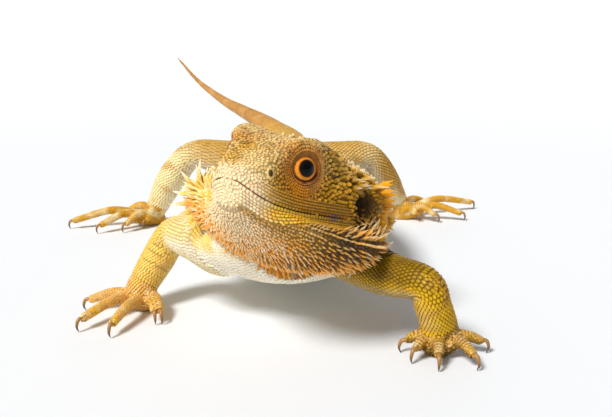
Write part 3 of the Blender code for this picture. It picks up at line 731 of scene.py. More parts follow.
def lipColour(y, base, over, share, creamFrom):
    lilac = 0.7 * ramp(y, -17, -15.5) * ramp(y, -12, -13.5)
    return layered(base, (over, share), ("lilac", lilac), ("cream", ramp(y, creamFrom, creamFrom - 6)))


def upperLip(place, here):
    return lipColour(here[1], "oliveYellow", "creamYellow", 0.35 * ramp(here[1], -24, -34), -37)


def lowerLip(place, here):
    return lipColour(here[1], "creamYellow", "oliveYellow", 0.7 * ramp(here[1], -26, -14), -36)


def sideOfHead(place, here):
    return headColour(place)


mouthRow(0.6, 1.3, "plate", 1.0, 1.4, 0.28, (-48, -4), upperLip)
mouthRow(-0.7, 1.2, "plate", 1.26, 1.26, 0.34, (-48, -4), lowerLip, 0.3)
for row in range(4):
    mouthRow(1.5 + row * 0.84, 1.16, "keeled", 0.9, 1.4, 0.3, (-44, -5.5 - row), sideOfHead, 0.5 * (row % 2))
for row in range(4):
    mouthRow(-1.85 - row * 0.9, 1.2, "keeled", 1.0, 1.4, 0.34, (-46, -2), sideOfHead, 0.5 * (row % 2))

# Rings of small granules round each eye. On the skin, each has a reach and a size. On the lids, each has a
# reach, a height, a size and a colour.
skinGranules = ((5.3, 0.7), (6.0, 0.78), (6.8, 0.86), (7.65, 0.9))
lidGranules = ((4.55, 3.36, 0.44, "#C07420"), (5.12, 3.2, 0.55, "#A06A24"), (5.5, 2.85, 0.6, "#B08030"))


def waysRound(side, count):  # the ways out from the middle of an eye, towards the snout first
    across, rise = eyeFrames[side][2:]
    turns = [2 * math.pi * k / count for k in range(count)]
    return [(turn, across * math.cos(turn) + rise * math.sin(turn)) for turn in turns]


for side in (-1, 1):
    centre, aim = eyeFrames[side][:2]
    spots = []
    for reach, size in skinGranules:
        for turn, out in waysRound(side, int(2 * math.pi * reach / size)):
            found = claim(fromHead([centre + aim * 3 + out * reach])[0], 4, size * 0.6, size * 0.75)
            if found is None:
                continue
            place, normal = found
            back = tangent(headAxes @ np.array(out), normal)
            shade = varied(blendOf(headColour(place), palette["orangeBrown"], 0.15), 0.2)
            spots.append(spot(place - back * size * 0.5, normal, back, size * 1.1, size * 1.2, size * 0.3, 6,
                              shade))
    for reach, height, size, code in lidGranules:
        for turn, out in waysRound(side, int(2 * math.pi * reach / size)):
            place = fromHead([centre + aim * height + out * reach])[0]
            take(place, size * 0.5)
            normal = headAxes @ np.array((aim + out * 0.3).normalized())
            back = tangent(headAxes @ np.array(out), normal)
            shade = varied(linear(code), 0.2)
            spots.append(spot(place - back * size * 0.5, normal, back, size * 1.05, size * 1.15,
                              size * 0.34, 3, shade))
    layScales("head_scales", "plate", spots)

print("spines of the head")


def spineSpot(place, normal, back, lift, length, width, colour, tip, gap):
    return spot(place, normal, back, width, length, width * 0.75, lift, varied(tone(colour)), tone(tip), gap)


paleTip = layered("white", ("creamYellow", 0.3))
# rows across the nape: place along the head, reach, count and length
napeRows = ((-4.0, 1.0, 8, 0.6), (-1.2, 1.0, 9, 0.85), (1.6, 0.98, 10, 1.05))
# pale spines over the ear, which point back past it: their roots along and up the head, and length
earSpines = ((-9.5, 4.0, 4.5), (-7.0, 5.4, 7.2), (-4.2, 4.6, 7.6), (-2.6, 7.2, 5.4), (-8.0, 8.0, 4.2),
             (0.4, 5.6, 6.0))
spots = []
for side in (-1, 1):
    for start, reach, count, longer in napeRows:
        for share in (k / (count - 1) for k in range(count)):
            turn = math.radians(66 - 122 * share)
            guess = Vector((side * (3.5 + 18.6 * math.cos(turn)) * reach, start + 2.5 * share,
                            (-1 + 13.2 * math.sin(turn)) * reach))
            if (guess - mirrored(head["earCentre"], side)).length < 6.6 or start > 1 and -8 < guess.z < 3.5:
                continue
            found = claim(fromHead([guess])[0], 5, 1.4, 1.3)
            if found is None:
                continue
            place, normal = found
            lean = (side * (0.7 + 0.5 * math.cos(turn)), 0.6, 0.25 * math.sin(turn))
            lean = unit(headAxes @ np.array(lean))
            length = (draw.uniform(3.0, 4.2) + 4.4 * math.sin(math.pi * share) ** 2) * longer
            lift = math.degrees(math.asin(max(-0.9, min(0.9, lean @ normal))))
            colour = layered("goldTan", ("oliveYellow", ramp(share, 0.2, 0.7)))
            if side < 0:
                colour, length = palette["creamYellow"], length * 1.35
            spots.append(spineSpot(place, normal, tangent(lean, normal), max(14, lift), length, 2.2, colour,
                                   blendOf(colour, paleTip, 0.75), palette["olive"] * 0.7))
for side in (-1, 1):
    for y, z, length in earSpines:
        found = claim(fromHead([(side * 21, y, z)])[0], 5, 1.2, 1.2)
        if found is None:
            continue
        place, normal = found
        lean = headAxes @ np.array((side * 0.34, 1.0, 0.04))
        spots.append(spineSpot(place, normal, tangent(lean, normal), 20, length, 1.7, "oliveYellow", paleTip,
                               palette["olive"] * 0.6))
layScales("head_scales", "bristle", spots)


def spineBand(rings, alongs, angles, length, width, lift, colour, tip, gap, room=1.5):
    # big spines in rows over part of a form, each leaning back by its lift
    last, sides = len(rings) - 1, rings.shape[1]
    laid = []
    for (n, along), angle in product(enumerate(alongs), angles):
        u = along * last
        v = (angle + (n % 2) * (angles[1] - angles[0]) / 2 + draw.uniform(-2, 2)) / 360 * sides
        i, k = min(int(u), last - 1), int(math.floor(v))
        place, beyond = (blendOf(ring[k % sides], ring[(k + 1) % sides], v - k) for ring in rings[i:i + 2])
        found = claim(place + (beyond - place) * (u - i), 4, room, room)
        if found is not None:
            laid.append(spineSpot(*found, tangent(beyond - place, found[1]), lift + draw.uniform(-6, 6),
                                  length * draw.uniform(0.8, 1.15), width, colour, tip, gap))
    layScales("beard_spines", "bristle", laid)


# form, shares of its length, turns round it, length, width, lift, colour, tip, gap and room
bands = (
    ("beard", (0.8, 0.9, 0.99), range(156, 220, 6), 8.4, 1.9, 42, layered("yellow", ("cream", 0.3)), "white",
     palette["creamYellow"] * 0.7, 1.7),
    # spines on the animal's left side, whose gaps are painted nearly black as painted shadow
    ("beard", (0.9, 0.995), range(-44, -8, 7), 5.4, 1.6, 36, "oliveYellow", paleTip, palette["beardShadow"]),
    ("beard", (0.84, 0.92, 0.995), range(-2, 36, 8), 6.6, 1.5, 26, "oliveYellow", paleTip,
     palette["oliveYellow"] * 0.5),
    ("neck", (0.12, 0.24, 0.38), range(-22, 18, 8), 8.6, 2.1, 30, "spikeOrange",
     layered("orange", ("yellow", 0.35)), palette["oliveYellow"] * 0.6),
    ("neck", (0.2, 0.34, 0.48), range(146, 204, 9), 5.6, 1.7, 40, "creamYellow", "white",
     palette["goldTan"] * 0.6),
)
for form, *settings in bands:
    spineBand(rings[form], *settings)

print("scales of the head")
# crest: how much lighter a scale's crest is painted, a painted highlight
headKinds = {"keeled": {"wide": 1.34, "long": 1.5, "tall": 0.38, "lift": 17, "crest": 1.4},
             "plate": {"wide": 1.2, "long": 1.25, "tall": 0.26, "lift": 3, "crest": 1.15}}


def swerved(back, normal, angle):
    return back * math.cos(angle) + np.cross(normal, back) * math.sin(angle)


def headSize(local):
    x, y, z = local
    size = 0.86 + 0.7 * ramp(y, -26, -10)
    return size - 0.3 * ramp(z, 3, 0) * ramp(y, -22, -12) + 0.1 * ramp(z, 9, 13)


samples = sampleRings(rings["head"], lambda along: 0.6, lengthwise=True)
draw.shuffle(samples)
spots = {kind: [] for kind in headKinds}
for place, normal, back, along, angle in samples:
    found = onSkin(place, 2.0)
    if found is None or found[1] @ normal < 0.2:
        continue
    place, normal = found
    here = toHead([place])[0]
    if isOpening(here):
        continue
    size = 1.0 if here[2] < mouthTree.find(here)[0].z - 3.5 and here[1] > -30 else headSize(here)
    if not isFree(place, size * 0.9):
        continue
    take(place, size * 0.9)
    back = tangent(back, normal)
    kind = "keeled" if here[1] > -23 and here[2] < 13 else "plate"
    colour = varied(headColour(place), 0.15)
    if kind == "keeled":
        back = swerved(back, normal, draw.uniform(-0.5, 0.5))
        size *= draw.uniform(0.88, 1.14)
    like = headKinds[kind]
    spots[kind].append(spot(place - back * size * 0.6, normal, back, size * like["wide"], size * like["long"],
                            size * like["tall"], like["lift"], colour, colour * like["crest"]))
for kind, laid in spots.items():
    layScales("head_scales", kind, laid)

print("beard")


def beardTurn(angle):  # 0 under the throat, rising to the animal's left
    return (angle + 270) % 360 - 180


def beardColour(place, along, turn):
    return layered("beardPale",
                   ("peach", ramp(grain(place, 1.6, 2), -0.3, 0.3) * (0.25 + 0.6 * ramp(along, 0.15, 0.5))),
                   ("orange", 0.8 * ramp(grain(place, 1.3, 8), 0.1, 0.3) * ramp(along, 0.15, 0.4)),
                   ("oliveYellow", 0.85 * ramp(turn, 30, 62) * (1 - 0.5 * ramp(along, 0.5, 0.8))),
                   ("yellow", 0.75 * ramp(turn, -50, -80)),
                   ("orange", 0.85 * (ramp(along, 0.34, 0.62) * ramp(turn, 80, 50) * ramp(turn, -88, -70))))


def beardRoom(along, angle):
    rim = ramp(beardTurn(angle), -40, 10) * ramp(along, 0.35, 0.6)
    return 0.76 + 0.2 * ramp(along, 0.3, 0.8) + 0.62 * rim


def beardSpacing(along):
    return 0.95 + 0.4 * ramp(along, 0.3, 0.8)


spots = []
samples = sampleRings(rings["beard"], beardSpacing, lengthwise=True, jitter=0.07)
for place, normal, back, along, angle in settle(samples, beardRoom, 2.4):
    here = toHead([place])[0]
    turn = beardTurn(angle)
    if abs(turn) > 165 or (along < 0.03 and here[2] > -1):
        continue
    if np.linalg.norm(here - headPlace("earCentre", sideOf(here[0]))) < 6:
        continue
    grow = ramp(along, 0.2, 0.85)
    wild = ramp(abs(turn), 50, 95) * grow
    back = swerved(back, normal, math.radians(draw.gauss(0, 4 + 5 * wild)))
    length = (1.3 + 3.0 * grow + 1.1 * wild) * draw.uniform(0.88, 1.14)
    # painted 16 per cent lighter everywhere but on the animal's left side, which stays darker as painted
    # shade
    colour = varied(beardColour(place, along, turn), 0.14) * (1.16 - 0.16 * ramp(turn, 38, 66))
    colour = colour / max(1, colour.max())  # a tint above 1 would be cut off and lose its hue
    chance = draw.random()
    if chance < 0.2:  # pale ones and orange ones among the others
        colour = blendOf(colour, palette["beardPale"], 0.65 - 0.5 * ramp(turn, 10, 45))
    elif chance > 0.5:
        colour = blendOf(colour, palette["orange"], 0.85 * ramp(along, 0.12, 0.4) * ramp(turn, -95, -70)
                         * max(ramp(turn, 74, 48), ramp(along, 0.45, 0.7)))
    # painted shadow between the bristles, low on the beard and on the animal's left side: there the bristles
    # are narrower and their gaps are painted nearly black
    shaded = ramp(turn, -60, 5) * ramp(along, 0.28, 0.6)
    shaded *= 1 - 0.85 * ramp(along, 0.7, 0.84) * ramp(turn, 28, 4)
    paled = 0.12 + 0.26 * draw.random() + 0.2 * ramp(abs(turn), 60, 90)
    paled *= 1 - 0.6 * ramp(turn, 46, 70) * ramp(along, 0.8, 0.5)
    length *= 1 - 0.4 * ramp(turn, 52, 76) * ramp(along, 0.8, 0.4)
    gap = blendOf(colour * 0.64, palette["beardShadow"], (0.8 + 0.15 * ramp(turn, 15, 40)) * shaded)
    girth = (0.9 + 0.26 * grow) * (1 - 0.28 * shaded)
    bristleLift = 9 + 9 * grow + 6 * wild + draw.uniform(-3, 3)
    spots.append(spot(place, normal, back, girth, length, 0.5 + 0.34 * grow, bristleLift, colour,
                      blendOf(colour, palette["white"], paled), gap))
layScales("beard_spines", "bristle", spots)
print("bristles", len(spots))

print("body")


def coatForm(piece, rings, spacing, shade, kind="keeled", lift=8, long=1.42, tall=0.26, wide=1.14,
             rowStep=0.82, reach=1.7):
    samples = sampleRings(rings, spacing, rowStep=rowStep)
    spots = []
    for place, normal, back, along, angle in settle(samples, lambda a, turn: spacing(a) * 0.74, reach):
        size = spacing(along)
        colour, gap = shade(place, normal, along, angle)
        colour = varied(colour, 0.1)
        spots.append(spot(place - back * size * 0.6, normal, back, size * wide * draw.uniform(0.95, 1.05),
                          size * long * draw.uniform(0.94, 1.06), size * tall, lift, colour, None, gap))
    layScales(piece, kind, spots)
    return len(spots)


def torsoShade(place, normal, along, angle):
    low = ramp(normal[2], 0.15, -0.45)
    pale = ramp(math.sin(place[1] / 5.2) + grain(place, 6, 5), 0.5, 1.1) * ramp(abs(place[0] + 7), 24, 14)
    chest = ramp(place[1], -50, -58) * ramp(normal[2], 0.6, 0.2)
    chest *= max(ramp(place[2], 36, 30), ramp(place[0], 6, -6))
    shoulder = ramp(place[1], -40, -52) * ramp(place[2], 25, 32) * ramp(-place[0], 22, 32)
    colour = layered("back", ("legBrown", ramp(grain(place, 9, 2), 0.0, 0.5)),
                     ("paleTan", 0.6 * pale * ramp(place[1], 68, 52)), ("belly", max(low, chest)),
                     (palette["goldTan"] * 0.8, 0.9 * ramp(place[0], 8, 14) * ramp(place[1], -40, -50)),
                     ("yellow", 0.75 * shoulder * ramp(grain(place, 4, 3), -0.6, 0.2)))
    return colour, colour * (0.56 + 0.26 * max(low, chest))


def neckShade(place, normal, along, angle):
    colour = layered("oliveYellow", ("goldTan", ramp(grain(place, 4, 2), -0.2, 0.4)),
                     ("belly", ramp(normal[2], -0.1, -0.6) * ramp(place[0], 8, 0)))
    return colour, colour * 0.45


def armShade(place, normal, along, angle):
    right = 1 if place[0] < 0 else 0
    upper = ramp(along, 0.62, 0.4)
    # the left arm is painted olive on top, darker all over and with browner gaps: painted shade, as it lies
    # in the head's shadow
    colour = layered("armYellow", ("goldTan", ramp(grain(place, 5, 3), 0, 0.6)), ("armPale", 0.28 * right),
                     ("olive", 0.65 * upper * (1 - right) * ramp(normal[2], -0.3, 0.2)),
                     ("belly", 0.85 * upper * right * ramp(normal[2], 0.5, -0.2)),
                     ("armPale", 0.55 * upper * right * ramp(normal[2], -0.1, 0.4)),
                     ("armPale", (0.55 + 0.25 * right) * ramp(normal[2], -0.15, -0.7)))
    colour = colour * (1 - (1 - right) * (0.26 + 0.1 * upper))
    brown = 0.4 * (1 - right) * ramp(normal[2], -0.7, 0)
    return colour, blendOf(colour * 0.62, palette["armBrown"] * 0.7, brown)


def legShade(place, normal, along, angle):
    thigh = ramp(along, 0.62, 0.35)
    # the outer side of the left leg is painted darker and browner: painted shade on the side away from the
    # lamp
    colour = layered("legTan", ("legBrown", 0.7 * ramp(grain(place, 7, 4), 0.1, 0.5)),
                     ("back", thigh * (0.6 + 0.3 * ramp(normal[2], 0, 0.7))),
                     (palette["cheek"] * 0.85, 0.85 * ramp(place[0], 31, 42) * ramp(along, 0.95, 0.75)),
                     ("belly", 0.6 * ramp(normal[2], -0.1, -0.7)))
    return colour, colour * 0.74


def tailShade(place, normal, along, angle):
    bands = ramp(math.sin(along * 62) + 0.5 * grain(place, 5, 7), 0.1, 0.9)
    colour = layered("tail", ("tailPale", 0.45 * bands), ("back", ramp(along, 0.42, 0.04)),
                     ("belly", 0.5 * ramp(normal[2], -0.3, -0.8)))
    return colour, colour * 0.6


def pawShade(place, normal, along, angle):
    left = 1 if place[0] > 0 else 0
    # the left hand is painted golder and darker away from its top, darkest underneath, with darker gaps:
    # painted shade
    colour = layered("hand", ("armYellow", 0.7 * ramp(grain(place, 4, 6), -0.1, 0.6)),
                     ("goldTan", 0.7 * left * ramp(normal[2], 0.7, 0.1)),
                     ("paleTan", 0.7 * ramp(grain(place, 2, 3), 0, 0.4) * ramp(normal[2], 0, 0.5)))
    colour = colour * (1 - left * (0.28 + 0.3 * ramp(normal[2], 0.3, -0.3)))
    return colour, colour * (0.62 - 0.2 * left)


def footShade(place, normal, along, angle):
    colour = layered("foot", ("legTan", ramp(grain(place, 5, 6), -0.1, 0.6)))
    return colour, colour * 0.66


def torsoSpacing(along):
    return 1.2 + 0.85 * ramp(along, 0.12, 0.3)


flankSpines = {"from": 0.3, "to": 0.8, "spread": 16, "length": (3.9, 5.2), "width": 2.1, "lift": 34}
backSpines = {"from": 0.2, "to": 0.95, "leftOut": 0.25, "length": (2.6, 3.6), "width": 2.0, "lift": 26}
spots = []
for place, normal, back, along, angle in sampleRings(rings["torso"], lambda along: 3.3, rowStep=0.55):
    turn = (angle + 90) % 360 - 90  # 0 and 180 are the flanks
    off = min(abs(turn), abs(turn - 180))
    if off > flankSpines["spread"] or not flankSpines["from"] < along < flankSpines["to"]:
        continue
    found = claim(place, 2, 1.9, 1.6)
    if found is None:
        continue
    place, normal = found
    size = 1 - off / 28
    spots.append(spineSpot(place, normal, back - normal * (back @ normal), flankSpines["lift"],
                           draw.uniform(*flankSpines["length"]) * size, flankSpines["width"] * size + 0.3,
                           "goldTan", layered("goldTan", ("cream", 0.35)), palette["legBrown"] * 0.6))
layScales("body_scales", "bristle", spots)
spots = []  # a batch of their own, because a batch's places in the bake depend on how far it reaches
for place, normal, back, along, angle in sampleRings(rings["torso"], lambda along: 5.2, rowStep=0.9):
    if not backSpines["from"] < along < backSpines["to"] or normal[2] < 0.35:
        continue
    if draw.random() < backSpines["leftOut"]:
        continue
    found = claim(place, 2, 2.0, 1.5)
    if found is None:
        continue
    place, normal = found
    spots.append(spineSpot(place, normal, back - normal * (back @ normal), backSpines["lift"],
                           draw.uniform(*backSpines["length"]), backSpines["width"], "paleTan", "cream",
                           palette["legBrown"] * 0.6))
layScales("body_scales", "bristle", spots)

print("torso", coatForm("body_scales", rings["torso"], torsoSpacing, torsoShade, tall=0.15, lift=6))
print("neck", coatForm("beard_spines", rings["neck"], lambda along: 1.7, neckShade, tall=0.4, lift=14))
print("tail", coatForm("tail_scales", rings["tail"], lambda along: 1.9 - 0.95 * along, tailShade, long=1.7,
                       tall=0.2))
limbCoats = {"arm": (lambda along: 1.4 - 0.2 * along, armShade, {"tall": 0.22, "lift": 7}),
             "leg": (lambda along: 1.9 - 0.4 * along, legShade, {"tall": 0.2})}
for name in limbs:
    spacing, shade, settings = limbCoats[name[:3]]
    print(name, coatForm(name[:3] + "_scales", rings[name], spacing, shade, **settings))
for name, parts in pawParts.items():
    piece, shade = ("arm_scales", pawShade) if name.startswith("hand") else ("leg_scales", footShade)
    coatForm(piece, parts["stub"], lambda along: 1.15, shade)
    coatForm(piece, parts["palm"], lambda along: 1.0, shade)
    for toe in parts["toes"]:
        coatForm(piece, toe, lambda along: 0.95, shade, kind="plate", long=1.3, wide=1.3, tall=0.24,
                 rowStep=0.9)

print("bare places covered")
laid = [(piece, kind, s) for piece, batches in coat.items() for kind, spots in batches for s in spots]
laidTree = treeOf([s["place"] for piece, kind, s in laid])
cover = {"least": 0.95, "most": 1.6, "room": 0.8, "funnel": (2.8, 1.6), "funnelFine": 0.3,
         "underBristles": 0.12}
order = list(range(len(skinPoints)))
draw.shuffle(order)
filled = {}
skinLocal = toHead(skinPoints)
for i in order:
    place, normal = skinPoints[i], skinNormals[i]
    if onFloor(place, normal):
        continue
    piece, kind, like = laid[laidTree.find(place)[1]]
    # the ear's soft wall, in smaller scales, painted darker deeper in as painted shade of the recess
    funnel = ramp(toEar(skinLocal[i]), *cover["funnel"]) if abs(skinLocal[i, 1]) < 12 else 0
    size = min(cover["most"], max(cover["least"], like["size"][0])) * (1 - cover["funnelFine"] * funnel)
    if not isFree(place, size * cover["room"]):
        continue
    if skinLocal[i, 1] < 6 and isOpening(skinLocal[i]):
        continue
    take(place, size * cover["room"])
    back = like["back"] - normal * (like["back"] @ normal)
    if np.linalg.norm(back) < 0.1:
        continue
    back /= np.linalg.norm(back)
    colour = blendOf(like["gap"], like["colour"], cover["underBristles"] if kind == "bristle" else 1)
    colour = blendOf(colour, palette["earWallShade"] * (0.3 + 0.8 * ramp(toEar(skinLocal[i]), 1.0, 2.2)), funnel)
    gap = blendOf(like["gap"], palette["earWallShade"] * 0.6, funnel)
    filled.setdefault(piece, []).append(spot(place - back * size * 0.55, normal, back, size * 1.1,
                                             size * 1.25, size * 0.22, 6, varied(colour, 0.1), None, gap))
for piece, spots in filled.items():
    print(piece, "filled", len(spots))
    layScales(piece, "keeled", spots)

print("joined coats")


def joinScales(name, batches):
    parts, base = [], 0
    for kind, spots in batches:
        model = scaleModels[kind]
        places, normals, backs, sizes, lifts, colours, tips, gaps = (
            np.array([s[key] for s in spots])
            for key in ("place", "normal", "back", "size", "lift", "colour", "tip", "gap"))
        backs /= lengths(backs)[:, None]
        lifts = np.radians(lifts)[:, None]
        y = backs * np.cos(lifts) + normals * np.sin(lifts)
        z = normals * np.cos(lifts) - backs * np.sin(lifts)
        x = np.cross(y, z)
        co = model["co"][None] * sizes[:, None]
        made = places[:, None]
        for k, way in enumerate((x, y, z)):
            made = made + co[:, :, k:k + 1] * way[:, None]
        made[:, :, 2] = np.maximum(made[:, :, 2], 0.02)
        colours, tips, gaps = colours[:, None], tips[:, None], gaps[:, None]
        high = model["high"][None, :, None]
        if kind == "bristle":
            tint = np.where(high < 0.3, blendOf(gaps, colours, 0.1), np.where(high < 0.8, colours, tips))
        else:
            # painted shadow: the rear point of each scale is painted darker, and its crest takes the lighter
            # tip colour, a painted highlight
            rear = model["co"][None, :, 1:2] > 0.85  # the shaded point, which parts a scale from the next one
            tint = np.where(high < 0.05, gaps, np.where(high > 0.9, tips, colours * np.where(rear, 0.6, 1)))
        starts = base + np.arange(len(spots)) * len(model["co"])
        patches = unfolded(places)[:, None] + (model["co"][:, :2] - (0, 0.5))[None] * 0.0028
        parts.append((made.reshape(-1, 3), (model["faces"][None] + starts[:, None, None]).reshape(-1, 3),
                      np.broadcast_to(tint, made.shape).reshape(-1, 3), patches.reshape(-1, 2)))
        base += len(spots) * len(model["co"])
    points, faces, tints, patches = (np.vstack(part) for part in zip(*parts))
    mesh = bpy.data.meshes.new(name)
    mesh.vertices.add(len(points))
    mesh.vertices.foreach_set("co", points.astype(np.float32).ravel())
    mesh.loops.add(faces.size)
    mesh.loops.foreach_set("vertex_index", faces.astype(np.int32).ravel())
    mesh.polygons.add(len(faces))
    mesh.polygons.foreach_set("loop_start", np.arange(0, faces.size, 3, dtype=np.int32))
    mesh.update(calc_edges=True)
    piece = bpy.data.objects.new(name, mesh)
    bpy.context.scene.collection.objects.link(piece)
    paint(piece, np.clip(tints, 0, 1))
    corners = np.clip(patches, 0.001, 0.999)[faces.ravel()]
    mesh.uv_layers.new(name="OFBake").uv.foreach_set("vector", corners.astype(np.float32).ravel())
    mesh.validate()
    return piece


def unfolded(places):
    # the roots' places on an unwrap of the body: the length of the animal across, the turn round it upwards
    x = places[:, 0] + 6
    turn = np.arctan2(x, places[:, 2] - 30) / (2 * math.pi) + 0.5
    low, high = places[:, 1].min(), places[:, 1].max()
    along = (places[:, 1] - low) / max(high - low, 1)
    return np.stack([0.02 + 0.96 * along, 0.02 + 0.96 * turn], 1)


print("skin colour")
roots = [s for batches in coat.values() for _, spots in batches for s in spots]
rootTree = treeOf([s["place"] for s in roots])
tints = np.array([sum(roots[n[1]]["gap"] for n in rootTree.find_n(place, 3)) / 3 for place in skinPoints])
# painted shade in the ears: the skin goes dark brown and near black round each ear's hole
for side in (-1, 1):
    off = (skinLocal - headPlace("earCentre", side)) * (0.5, 1, 1)
    for ahead, reach, soft, shade in ((1.6, 4.2, 2.0, "#5A3E14"), (-1.6, 4.3, 1.5, "#050301")):
        far = lengths(off - (0, ahead, 0))
        dark = np.clip(1 - (far - reach) / soft, 0, 1)[:, None]
        tints = blendOf(tints, linear(shade), dark)
paint(skin, tints)


def wire(tree, node, settings=(), links=()):
    for key, value in dict(settings).items():
        if key in node.inputs:
            node.inputs[key].default_value = value
        else:
            setattr(node, key, value)
    for key, source in dict(links).items():
        tree.links.new(source, node.inputs[key])
    return node


def addNode(tree, kind, settings=(), links=()):
    return wire(tree, tree.nodes.new("ShaderNode" + kind), settings, links)


def startMaterial(name):
    material = bpy.data.materials.new(name)
    material.use_nodes = True
    tree = material.node_tree
    return material, tree, tree.nodes["Principled BSDF"], addNode(tree, "TexCoord").outputs


def mottled(tree, colour, fleck, low, high):  # a colour made darker and lighter by a noise
    shade = addNode(tree, "MapRange", {"From Min": 0.3, "From Max": 0.7, "To Min": low, "To Max": high},
                    {"Value": fleck.outputs["Fac"]})
    return addNode(tree, "VectorMath", {"operation": "SCALE"},
                   {"Vector": colour, "Scale": shade.outputs["Result"]}).outputs["Vector"]


def colourStops(tree, source, stops):
    bands = addNode(tree, "ValToRGB", {}, {"Fac": source})
    elements = bands.color_ramp.elements
    while len(elements) > 1:
        elements.remove(elements[0])
    for i, (at, code) in enumerate(stops):
        stop = elements.new(at) if i else elements[0]
        stop.position = at
        stop.color = (*linear(code), 1)
    return bands.outputs["Color"]


def keratin(name, roughness, grainSize, depth):
    # reptile scale: keratin plates with a satin face, paler where they are worn, finely pitted
    material, tree, shader, where = startMaterial(name)
    tint = addNode(tree, "Attribute", {"attribute_name": "tint"})
    fleck = addNode(tree, "TexNoise", {"Scale": 1000 / grainSize, "Detail": 3.0},
                    {"Vector": where["Object"]})
    dull = addNode(tree, "MapRange", {"To Min": roughness - 0.08, "To Max": roughness + 0.1},
                   {"Value": fleck.outputs["Fac"]})
    bump = addNode(tree, "Bump", {"Strength": 0.5, "Distance": depth / 1000},
                   {"Height": fleck.outputs["Fac"]})
    wire(tree, shader, {"IOR": 1.55, "Specular IOR Level": 0.22},
         {"Base Color": mottled(tree, tint.outputs["Color"], fleck, 0.82, 1.15),
          "Roughness": dull.outputs["Result"], "Normal": bump.outputs["Normal"]})
    return material


scaleLook = keratin("reptileScaleKeratin", 0.5, 0.5, 0.06)
skinLook = keratin("reptileSkin", 0.62, 0.4, 0.08)
fleshNodes = sorted(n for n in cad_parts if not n.startswith(("eye", "claw")))
finishPiece(skin, "skin", "body_scales", skinLook, *fleshNodes)
for name, batches in coat.items():
    piece = joinScales(name, batches)
    selectOnly(piece)
    bpy.ops.object.shade_smooth_by_angle(angle=math.radians(38))
    print(name, len(piece.data.polygons))
    finishPiece(piece, name, "back_scales" if name == "body_scales" else name, scaleLook)

print("eyes")


def eyeLook():
    # wet eyeball: an orange iris with a dark rim round a blue-black pupil, under a clear coat
    material, tree, shader, where = startMaterial("wetEyeball")
    split = addNode(tree, "SeparateXYZ", {}, {"Vector": where["UV"]})
    rings = colourStops(tree, split.outputs["Y"], (
        (0.0, "#241006"), (0.70, "#241006"), (0.715, "#7A3A0C"), (0.735, "#E08A1E"), (0.775, "#F29C30"),
        (0.812, "#D97A14"), (0.826, "#4A2810"), (0.838, "#100E11"), (0.89, "#0A0A0C"), (0.9, "#040405")))
    stretch = addNode(tree, "Mapping", {"Scale": (46, 5, 1)}, {"Vector": where["UV"]})
    streak = addNode(tree, "TexNoise", {"Scale": 1.0, "Detail": 2.0}, {"Vector": stretch.outputs["Vector"]})
    wire(tree, shader, {"Roughness": 0.35, "IOR": 1.38, "Specular IOR Level": 0.08, "Coat Weight": 0.22,
                        "Coat IOR": 1.38, "Coat Roughness": 0.04},
         {"Base Color": mottled(tree, rings, streak, 0.7, 1.2)})
    return material


eyeballLook = eyeLook()
for side, name in ((-1, "eye_right"), (1, "eye_left")):
    centre, aim, across, rise = eyeFrames[side]
    turn = Matrix((across, aim.cross(across), aim)).transposed().to_4x4()
    bpy.ops.mesh.primitive_uv_sphere_add(segments=48, ring_count=40, radius=head["eyeRadius"])
    eye = bpy.context.object
    co = pointsOf(eye)
    co[:, 2] += np.clip((co[:, 2] / head["eyeRadius"] - 0.86) / 0.14, 0, 1) ** 1.5 * 0.35  # the cornea
    setPoints(eye, co)
    eye.data.transform(headFrame @ Matrix.Translation(centre) @ turn)
    bpy.ops.object.shade_smooth()
    finishPiece(eye, name + "_ball", "eyes", eyeballLook, name)

# the lids' section from inside the eye outwards: reach from its middle, height along its aim, and colour
# the near-black rows at the inner edge and underneath are a dark rim and partly painted shadow of the lid on
# the eye
lidSection = ((3.5, 2.6, "#1A0C05"), (3.55, 3.26, "#1A0C05"), (3.7, 3.5, "#1A0C05"),
              (3.86, 3.4, "#241006"), (4.08, 3.22, "#5A2C0C"), (4.36, 3.36, "#B8681A"),
              (4.72, 3.2, "#4A240C"), (5.15, 3.14, "#9A6622"), (5.5, 2.5, "#9A6622"),
              (5.0, 1.0, "#3A220E"), (4.4, 0.9, "#3A220E"), (3.8, 1.8, "#1E0E06"))
lidProfile = np.array([row[:2] for row in lidSection])
lidShades = np.array([linear(row[2]) for row in lidSection])
lidSides = 64
for side, name in ((-1, "eyelids_right"), (1, "eyelids_left")):
    centre, aim = eyeFrames[side][:2]
    ringPoints = []
    for reach, height, _ in lidSection + lidSection[:1]:
        share = max(0, 1 - (reach - 3.42) / 1.4)
        for turn, way in waysRound(side, lidSides):
            corner = max(0, math.cos(turn)) ** 8 * 0.75 + max(0, -math.cos(turn)) ** 8 * 0.4
            out = reach * (1 + 0.04 * math.cos(2 * turn)) + corner * share
            wave = 0.06 * math.sin(turn * 9 + reach * 4) * (reach > 4.1)
            ringPoints.append(centre + aim * (height - corner * share * 0.25 + wave) + way * out)
    lid = wrapped(fromHead(np.array(ringPoints)).reshape(-1, lidSides, 3), name)
    co = pointsOf(lid)
    off = toHead(co) - np.array(centre)
    height = off @ np.array(aim)
    reach = lengths(off - np.outer(height, np.array(aim)))
    near = np.argmin((reach[:, None] - lidProfile[:, 0]) ** 2 + (height[:, None] - lidProfile[:, 1]) ** 2, 1)
    tints = lidShades[near]
    for i in np.flatnonzero(near > 6):  # the outer edge takes the colour of the head
        tints[i] = blendOf(tints[i], headColour(co[i]), 0.7)
    paint(lid, tints)
    modified(lid, "SUBSURF", {"levels": 1, "render_levels": 1})
    bpy.ops.object.shade_smooth()
    finishPiece(lid, name, "head_scales", skinLook)

